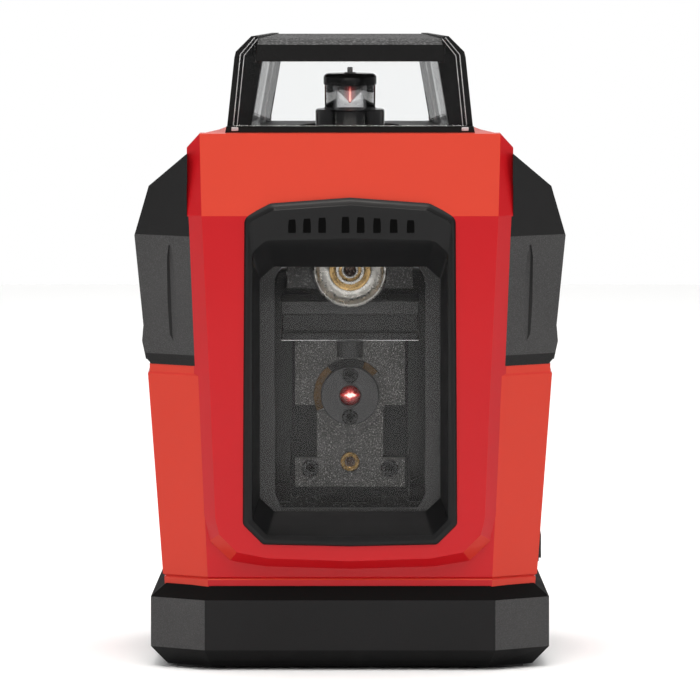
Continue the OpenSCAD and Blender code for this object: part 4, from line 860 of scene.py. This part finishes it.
def cone_mat():
    """Dark mirror cone; the beam shows as an upright red line where it strikes the front."""
    k = Mat("cone_mirror_lit")
    b = k.n("ShaderNodeBsdfPrincipled")
    b.inputs["Metallic"].default_value = 0.6
    k.link(k.ramp(k.noise(300.0, 3.0), [(0.3, (0.010, 0.007, 0.007, 1)), (0.7, (0.022, 0.012, 0.012, 1))]), b.inputs["Base Color"])
    k.link(k.span(k.noise(500.0, 3.0), 0.22, 0.32), b.inputs["Roughness"])
    sep = k.n("ShaderNodeSeparateXYZ")
    k.link(k.coord.outputs["Object"], sep.inputs["Vector"])
    ax = k.n("ShaderNodeMath", operation="ABSOLUTE")
    k.link(sep.outputs["X"], ax.inputs[0])
    line = k.span(ax.outputs[0], 1.3, 0.0, 0.00006, 0.00042)
    halo = k.span(ax.outputs[0], 0.42, 0.0, 0.0, 0.0017)
    up = k.span(sep.outputs["Z"], 1.0, 0.0, 0.1402, 0.14195)
    front = k.span(sep.outputs["Y"], 1.0, 0.0, -0.0106, -0.0100)
    broken = k.span(k.noise(2600.0, 3.0, 0.6), 0.45, 1.35, 0.35, 0.62)
    lit = k.n("ShaderNodeMath", operation="ADD")
    k.link(line, lit.inputs[0])
    k.link(halo, lit.inputs[1])
    prev = lit.outputs[0]
    for w in (up, front, broken):
        m1 = k.n("ShaderNodeMath", operation="MULTIPLY")
        k.link(prev, m1.inputs[0])
        k.link(w, m1.inputs[1])
        prev = m1.outputs[0]
    k.link(k.ramp(prev, [(0.0, (0.9, 0.0, 0.0, 1)), (0.55, (1.0, 0.02, 0.02, 1)), (1.0, (1.0, 0.38, 0.30, 1))]), b.inputs["Emission Color"])
    k.link(prev, b.inputs["Emission Strength"])
    k.link(b.outputs["BSDF"], k.out.inputs["Surface"])
    return k.m


turned_z("cone", "cone_mirror", [(0.0, 137.5), (0.12, 137.58), (4.43, 141.89), (4.45, 141.93), (4.45, 142.02), (0.0, 142.02)], cone_mat())
M["cap_black"] = solid("cap_black", (0.035, 0.035, 0.036, 1), rough=(0.10, 0.20), metal=0.75, vary=0.5, grain=(1500.0, 0.25, 0.0002), spec=0.6, mottle=420.0)
turned_z("cap", "cone_cap", [(0.0, 142.04), (6.4, 142.04), (6.58, 142.2), (6.6, 143.9), (6.5, 144.25), (6.1, 144.65), (5.7, 144.84), (1.6, 144.88), (1.55, 144.89), (0.0, 144.89)], M["cap_black"])
M["pin_silver"] = solid("pin_silver", (0.62, 0.62, 0.62, 1), rough=(0.15, 0.25), metal=1.0, vary=0.06, mottle=300.0)
turned_z("pin", "cap_pin", [(0.0, 144.9), (1.48, 144.9), (1.48, 145.08), (1.3, 145.14), (0.72, 145.16), (0.69, 145.3), (0.69, 146.2), (0.55, 146.38), (0.0, 146.4)], M["pin_silver"], 64)
# faint pink light in the tube, on a thin floor disc over the emitter bore
M["glow_floor"] = solid("glow_floor", (0.5, 0.16, 0.16, 1), rough=(0.3, 0.4), vary=0.1, emission=((1.0, 0.10, 0.10, 1), 0.35))
turned_z("emitter_face", "horizontal_laser_module", [(0.0, 131.7), (3.15, 131.7), (3.2, 131.75), (3.2, 133.2), (3.3, 133.38), (4.2, 133.4), (4.38, 133.2), (4.38, 129.2), (5.9, 129.35), (5.97, 129.2), (5.97, 92.1), (5.8, 92.0), (2.0, 91.9), (2.0, 89.6), (0.0, 89.5)], M["brass_insert"])
turned_z("emitter_glow", "horizontal_laser_module", [(0.0, 132.9), (3.1, 132.9), (3.1, 133.0), (0.0, 133.05)], M["glow_floor"], 64)
cw = lathe("weight", [(0, 0.0381), (0.003, 0.03814), (0.006, 0.03835), (0.0085, 0.0387), (0.0089, 0.0392), (0.00897, 0.0396), (0.00897, 0.0433), (0.0088, 0.04344), (0, 0.04344)], 96, (0, PY * MM, 0))
finish_piece(cw, "counterweight", mat=M["cast_dark_and_shade"])

# ------------------------------------------------------------------ every other node, edges rounded
DONE = {"window_bezel", "pendulum_block", "pendulum_yoke", "bearing_cups", "roll_bearings", "roll_pins", "vertical_laser_module", "module_ring", "pendulum_screws", "balance_screw", "line_lens", "cone_collar", "cone_tube", "cone_mirror", "cone_cap", "cap_pin", "horizontal_laser_module", "counterweight"}
WIDE = {"front_housing": 0.00055, "rear_housing": 0.00055, "side_grip_left": 0.0008, "side_grip_right": 0.0008, "base_boot": 0.0008, "guard_frame": 0.00035}


def carve(bm, cutters):
    """Take solids away; each cutter is (points mm, faces)."""
    me = bpy.data.meshes.new("work")
    bm.to_mesh(me)
    o = link(bpy.data.objects.new("work", me))
    tools = []
    for pts, faces in cutters:
        cm = bpy.data.meshes.new("cutter")
        cm.from_pydata([tuple(c * MM for c in q) for q in pts], [], faces)
        cb = bmesh.new()
        cb.from_mesh(cm)
        bmesh.ops.recalc_face_normals(cb, faces=cb.faces)
        cb.to_mesh(cm)
        cb.free()
        t = link(bpy.data.objects.new("cutter", cm))
        m = o.modifiers.new("cut", "BOOLEAN")
        m.operation = "DIFFERENCE"
        m.solver = "EXACT"
        m.object = t
        tools.append(t)
    dg = bpy.context.evaluated_depsgraph_get()
    new = bpy.data.meshes.new_from_object(o.evaluated_get(dg))
    bm.clear()
    bm.from_mesh(new)
    for t in tools + [o]:
        bpy.data.objects.remove(t)
    bmesh.ops.remove_doubles(bm, verts=bm.verts, dist=2e-6)
    bmesh.ops.dissolve_limit(bm, angle_limit=math.radians(0.06), verts=bm.verts, edges=bm.edges, delimit={"NORMAL"})


HEX = [(0, 1, 2, 3), (4, 5, 6, 7), (0, 1, 5, 4), (1, 2, 6, 5), (2, 3, 7, 6), (3, 0, 4, 7)]


def hexa(lo, hi, z0, z1, flip=False):
    k = -1 if flip else 1
    return ([(k * x, y, z0) for x, y in lo] + [(k * x, y, z1) for x, y in hi], HEX)


def split_grip(bm):
    """Trim the grip to the nose and cut it at two heights: the upper part is smooth, the middle grained, and the foot
    takes a darker colour as painted shade.
    """
    sx = 1 if sum(v.co.x for v in bm.verts) > 0 else -1
    q = [(30, -50), (39.93, -50), (39.93, -34), (30, -34)]
    carve(bm, [hexa(q, q, 111.2, 119.0, sx < 0)])
    for z in (106.3, 77.1):
        g = list(bm.verts) + list(bm.edges) + list(bm.faces)
        bmesh.ops.bisect_plane(bm, geom=g, plane_co=(0, 0, z * MM), plane_no=(0, 0, 1))


def trim_front(bm):
    """The body's own corner stays behind the leaning part of the nose."""
    g = 0.18
    # the wedge runs on above the deck along the same slope
    k = 4.0 / 19.9
    lo = [(-60, -52), (60, -52), (60, -45 + g), (-60, -45 + g)]
    hi = [(-60, -52), (60, -52), (60, -45 + g + k * 23.5), (-60, -45 + g + k * 23.5)]
    cut = [hexa(lo, hi, 111.5, 135.0)]
    for f in (False, True):
        a = [(36.2 - g, -45 - g), (39.85 - g, -41.0), (41.0, -41.0), (41.0, -49.0)]
        b = [(36.86 - g, -40.3 - g), (39.95 - g, -37.0), (41.0, -37.0), (41.0, -49.0)]
        cut.append(hexa(a, b, 111.5, 135.0, f))
    carve(bm, cut)


N_F = [(0, 26.9), (20, 27.6), (27.7, 29.1), (32.0, 33.4), (32.95, 37.5), (34.1, 66.5), (36.2, 111.5)]
N_B = [(0, 23.9), (21, 24.5), (29.9, 25.9), (35.3, 31.0), (36.6, 37.5), (37.9, 66.5), (39.85, 111.5)]
N_H = [(0, 31.6), (18, 31.7), (21.0, 32.1), (25.2, 36.5), (25.2, 41.0), (25.1, 66.5), (24.9, 110.4)]


def nose_piece():
    e = 0.03
    bm = bmesh.new()

    def row(pts, sx):
        return [bm.verts.new((sx * x * MM, y * MM, z * MM)) for x, y, z in pts]

    def both(pts):
        r = row(pts, 1)
        l = [r[i] if pts[i][0] == 0 else bm.verts.new((-pts[i][0] * MM, pts[i][1] * MM, pts[i][2] * MM)) for i in range(len(pts))]
        return r, l

    F = both([(x + (e if x else 0), -45 - e, z - (e if z < 30 else 0)) for x, z in N_F] + [(36.75 + e, -41 - e, 131.4 + e)])
    B = both([(x + (e if x else 0), -41, z - (e if z < 30 else 0)) for x, z in N_B] + [(39.95 + e, -37.6, 131.4 + e)])
    D = both([(x - (0.1 if x else 0), -38.5, z) for x, z in N_B] + [(39.85, -35.3, 131.4 + e)])
    H = both([(x, -45 - e, z) for x, z in N_H])
    K = both([(x, -42.6, z) for x, z in N_H])
    for s2 in (0, 1):
        f, b, d, h, k = F[s2], B[s2], D[s2], H[s2], K[s2]
        for i in range(6):
            bm.faces.new((h[i], h[i + 1], f[i + 1], f[i]))
            bm.faces.new((k[i], k[i + 1], h[i + 1], h[i]))
            bm.faces.new((d[i], d[i + 1], k[i + 1], k[i]))
        for i in range(7):
            bm.faces.new((f[i], f[i + 1], b[i + 1], b[i]))
            bm.faces.new((b[i], b[i + 1], d[i + 1], d[i]))
    (f, g2), (b, c2), (d, d2), (h, h2), (k, k2) = F, B, D, H, K
    bm.faces.new((h[6], f[6], g2[6], h2[6]))
    bm.faces.new((k[6], h[6], h2[6], k2[6]))
    bm.faces.new((f[6], f[7], g2[7], g2[6]))
    bm.faces.new((f[7], b[7], c2[7], g2[7]))
    bm.faces.new((b[7], d[7], d2[7], c2[7]))
    bm.faces.new((d[6], d[7], d2[7], d2[6]))
    bm.faces.new((k[6], d[6], d2[6], k2[6]))
    bmesh.ops.recalc_face_normals(bm, faces=bm.faces)
    for sx in (1, -1):
        # the top corners fall with the shoulders
        a, c = Vector((36.75 * sx, 0, 131.43)), Vector((39.95 * sx, 0, 127.9))
        nrm = Vector((abs(c.z - a.z) * sx, 0, abs(c.x - a.x))).normalized()
        g = list(bm.verts) + list(bm.edges) + list(bm.faces)
        r = bmesh.ops.bisect_plane(bm, geom=g, plane_co=a * MM, plane_no=nrm, clear_outer=True)
        bmesh.ops.holes_fill(bm, edges=[x for x in r["geom_cut"] if isinstance(x, bmesh.types.BMEdge)])
    o = bevelled("nose", bm, 0.00045, 3, 8)
    return finish_piece(o, "front_housing")


nose_piece()


for name in sorted(NODES):
    if name in DONE:
        continue
    if name in WIDE:
        o = keep(name, WIDE[name], 3, 4.0, dissolve=0.06, edit=split_grip if name.startswith("side_grip") else (trim_front if name == "front_housing" else None))
        if name in ("side_grip_left", "side_grip_right", "base_boot"):
            o.data.materials.append(M["grip_smooth_and_shade"])
            o.data.materials.append(M["underside_shade"])
            o.data.materials.append(M["boot_top_shade"] if name == "base_boot" else M["grip_shade"])
            # painted shade by face direction: the boot's downward faces darkest, its upward bevel near black, the
            # grip's foot and one slope of its groove mid grey, sideways faces the grained rubber, and the rest smooth
            # black, partly real finish and partly painted shade
            for p in o.data.polygons:
                n = p.normal
                if n.z > 0.3 and name == "base_boot":
                    p.material_index = 3
                elif abs(n.z) > 0.3 and name == "base_boot":
                    p.material_index = 2
                elif name != "base_boot" and p.center.z < 0.0771:
                    p.material_index = 3
                elif name != "base_boot" and 0.0798 < p.center.z < 0.1045 and abs(p.center.y) > 0.033 and abs(n.x) < 0.5:
                    p.material_index = 3
                elif abs(n.x) > 0.3 and abs(n.z) < 0.3 and (name == "base_boot" or p.center.z < 0.1062):
                    p.material_index = 0
                else:
                    p.material_index = 1
        elif name == "guard_frame":
            o.data.materials[0] = M["guard_smooth"]
            o.data.materials.append(M["guard_rough_and_lit"])
            # the top faces take the lighter rough material: real grain, and painted light from above
            for p in o.data.polygons:
                p.material_index = 1 if p.normal.z > 0.6 and p.center.z > 0.152 else 0
    else:
        o = keep(name, 0.0002, 2, 30.0)
        if name == "window_pane":
            o.data.materials[0] = M["window_glass"]

# painted highlight on the front pane's polished outer edge: two fine bright strips along it, and a clear foot at each
# lower corner in the same bright colour
M["pane_edge_highlight"] = solid("pane_edge_highlight", (0.55, 0.55, 0.56, 1), rough=(0.10, 0.2), vary=0.25, coat=0.5, mottle=600.0)
GUARD_Y = -34.0
highlight_strips = []
for sx in (1, -1):
    for d, w in ((0.0, 0.10), (0.95, 0.09)):
        path = [(28.62 - d, 133.1), (26.88 - d, 150.5 - 0.25 * d), (23.35 - 0.8 * d, 154.7 - 0.35 * d)]
        for (xa, za), (xb, zb) in zip(path, path[1:]):
            ln = math.hypot(xb - xa, zb - za)
            nx, nz = (zb - za) / ln * w, -(xb - xa) / ln * w
            out = [(sx * (xa - nx), za - nz), (sx * (xa + nx), za + nz), (sx * (xb + nx), zb + nz), (sx * (xb - nx), zb - nz)]
            if sx < 0:
                out.reverse()
            highlight_strips.append(slab("highlight_strip", out, GUARD_Y - 0.10, GUARD_Y + 0.25, 0.00004, 1))
highlight_strips = join("guard_edge_highlights", highlight_strips)
finish_piece(highlight_strips, "guard_frame", mat=M["pane_edge_highlight"])
feet = join("guard_feet", [block("foot", [(sx * 28.2 - 0.85, sx * 28.2 + 0.85, -36.34, -35.9, 131.85, 132.8)], 0.00016, 3) for sx in (1, -1)])
finish_piece(feet, "guard_frame", mat=M["pane_edge_highlight"])

# ------------------------------------------------------------------ stage
def plane(name, size, z, mat):
    me = bpy.data.meshes.new(name)
    s = size / 2
    me.from_pydata([(-s, -s, z), (s, -s, z), (s, s, z), (-s, s, z)], [], [(0, 1, 2, 3)])
    o = link(bpy.data.objects.new(name, me))
    me.materials.append(mat)
    return o


floor_mat = solid("floor_white", (0.955, 0.965, 0.975, 1), rough=(0.7, 0.8), vary=0.01, mottle=3.0)
floor = plane("floor", 2.6, cad_box[0][2] - 0.0001, floor_mat)

world = bpy.data.worlds.new("studio")
sc.world = world
world.use_nodes = True
wt = world.node_tree
bg = wt.nodes["Background"]
tc = wt.nodes.new("ShaderNodeTexCoord")
sp = wt.nodes.new("ShaderNodeSeparateXYZ")
rp = wt.nodes.new("ShaderNodeValToRGB")
wt.links.new(tc.outputs["Generated"], sp.inputs["Vector"])
wt.links.new(sp.outputs["Z"], rp.inputs["Fac"])
rp.color_ramp.interpolation = "EASE"
el = rp.color_ramp.elements
el[0].position, el[0].color = 0.10, (1.0, 1.0, 1.0, 1)
el[1].position, el[1].color = 0.42, (0.22, 0.22, 0.225, 1)
# white behind the object, dimmer to the sides and in front
side = wt.nodes.new("ShaderNodeMapRange")
side.inputs["From Min"].default_value = 0.5
side.inputs["From Max"].default_value = 0.85
wt.links.new(sp.outputs["Y"], side.inputs["Value"])
fr = wt.nodes.new("ShaderNodeValToRGB")
wt.links.new(sp.outputs["Z"], fr.inputs["Fac"])
fr.color_ramp.elements[0].position, fr.color_ramp.elements[0].color = 0.04, (0.08, 0.08, 0.082, 1)
fr.color_ramp.elements[1].position, fr.color_ramp.elements[1].color = 0.5, (0.24, 0.24, 0.24, 1)
k = fr.color_ramp.elements.new(0.24)
k.color = (0.40, 0.40, 0.40, 1)
mx = wt.nodes.new("ShaderNodeMix")
mx.data_type = "RGBA"
wt.links.new(side.outputs["Result"], mx.inputs["Factor"])
wt.links.new(fr.outputs["Color"], mx.inputs["A"])
wt.links.new(rp.outputs["Color"], mx.inputs["B"])
wt.links.new(mx.outputs["Result"], bg.inputs["Color"])
bg.inputs["Strength"].default_value = 1.0


def area(name, loc, target, size, power, size_y=None, color=(1, 1, 1)):
    d = bpy.data.lights.new(name, "AREA")
    d.shape = "RECTANGLE"
    d.size = size
    d.size_y = size_y or size
    d.energy = power
    d.color = color
    o = link(bpy.data.objects.new(name, d))
    o.location = loc
    o.rotation_euler = (Vector(target) - Vector(loc)).to_track_quat("-Z", "Y").to_euler()
    return o


area("top", (0.0, 0.1, 1.5), (0, 0, 0.0), 3.0, 50.0, color=(1.0, 0.985, 0.965))
area("key", (0.0, -0.72, 1.3), (0, 0, 0.08), 0.6, 6.6, 0.4, color=(1.0, 0.95, 0.90))
area("front", (0.0, -1.9, 0.66), (0, 0, 0.1), 1.5, 2.4, 0.35, color=(1.0, 0.95, 0.90))
area("left", (-0.70, -0.59, 0.2), (0, 0, 0.08), 0.07, 0.8, 0.6, color=(1.0, 0.96, 0.92))
area("right", (0.70, -0.59, 0.2), (0, 0, 0.08), 0.07, 0.8, 0.6, color=(1.0, 0.96, 0.92))

cam_d = bpy.data.cameras.new("camera")
cam = link(bpy.data.objects.new("camera", cam_d))
E = math.radians(4.5)
cam.location = (0.0, -2.0 * math.cos(E), 0.0752 + 2.0 * math.sin(E))
cam.rotation_euler = (Vector((0, 0, 0.0752)) - cam.location).to_track_quat("-Z", "Y").to_euler()
cam_d.sensor_width = 36.0
cam_d.lens = 8000.0 * 36.0 / 700.0
cam_d.clip_start = 0.05
cam_d.clip_end = 50.0
sc.camera = cam
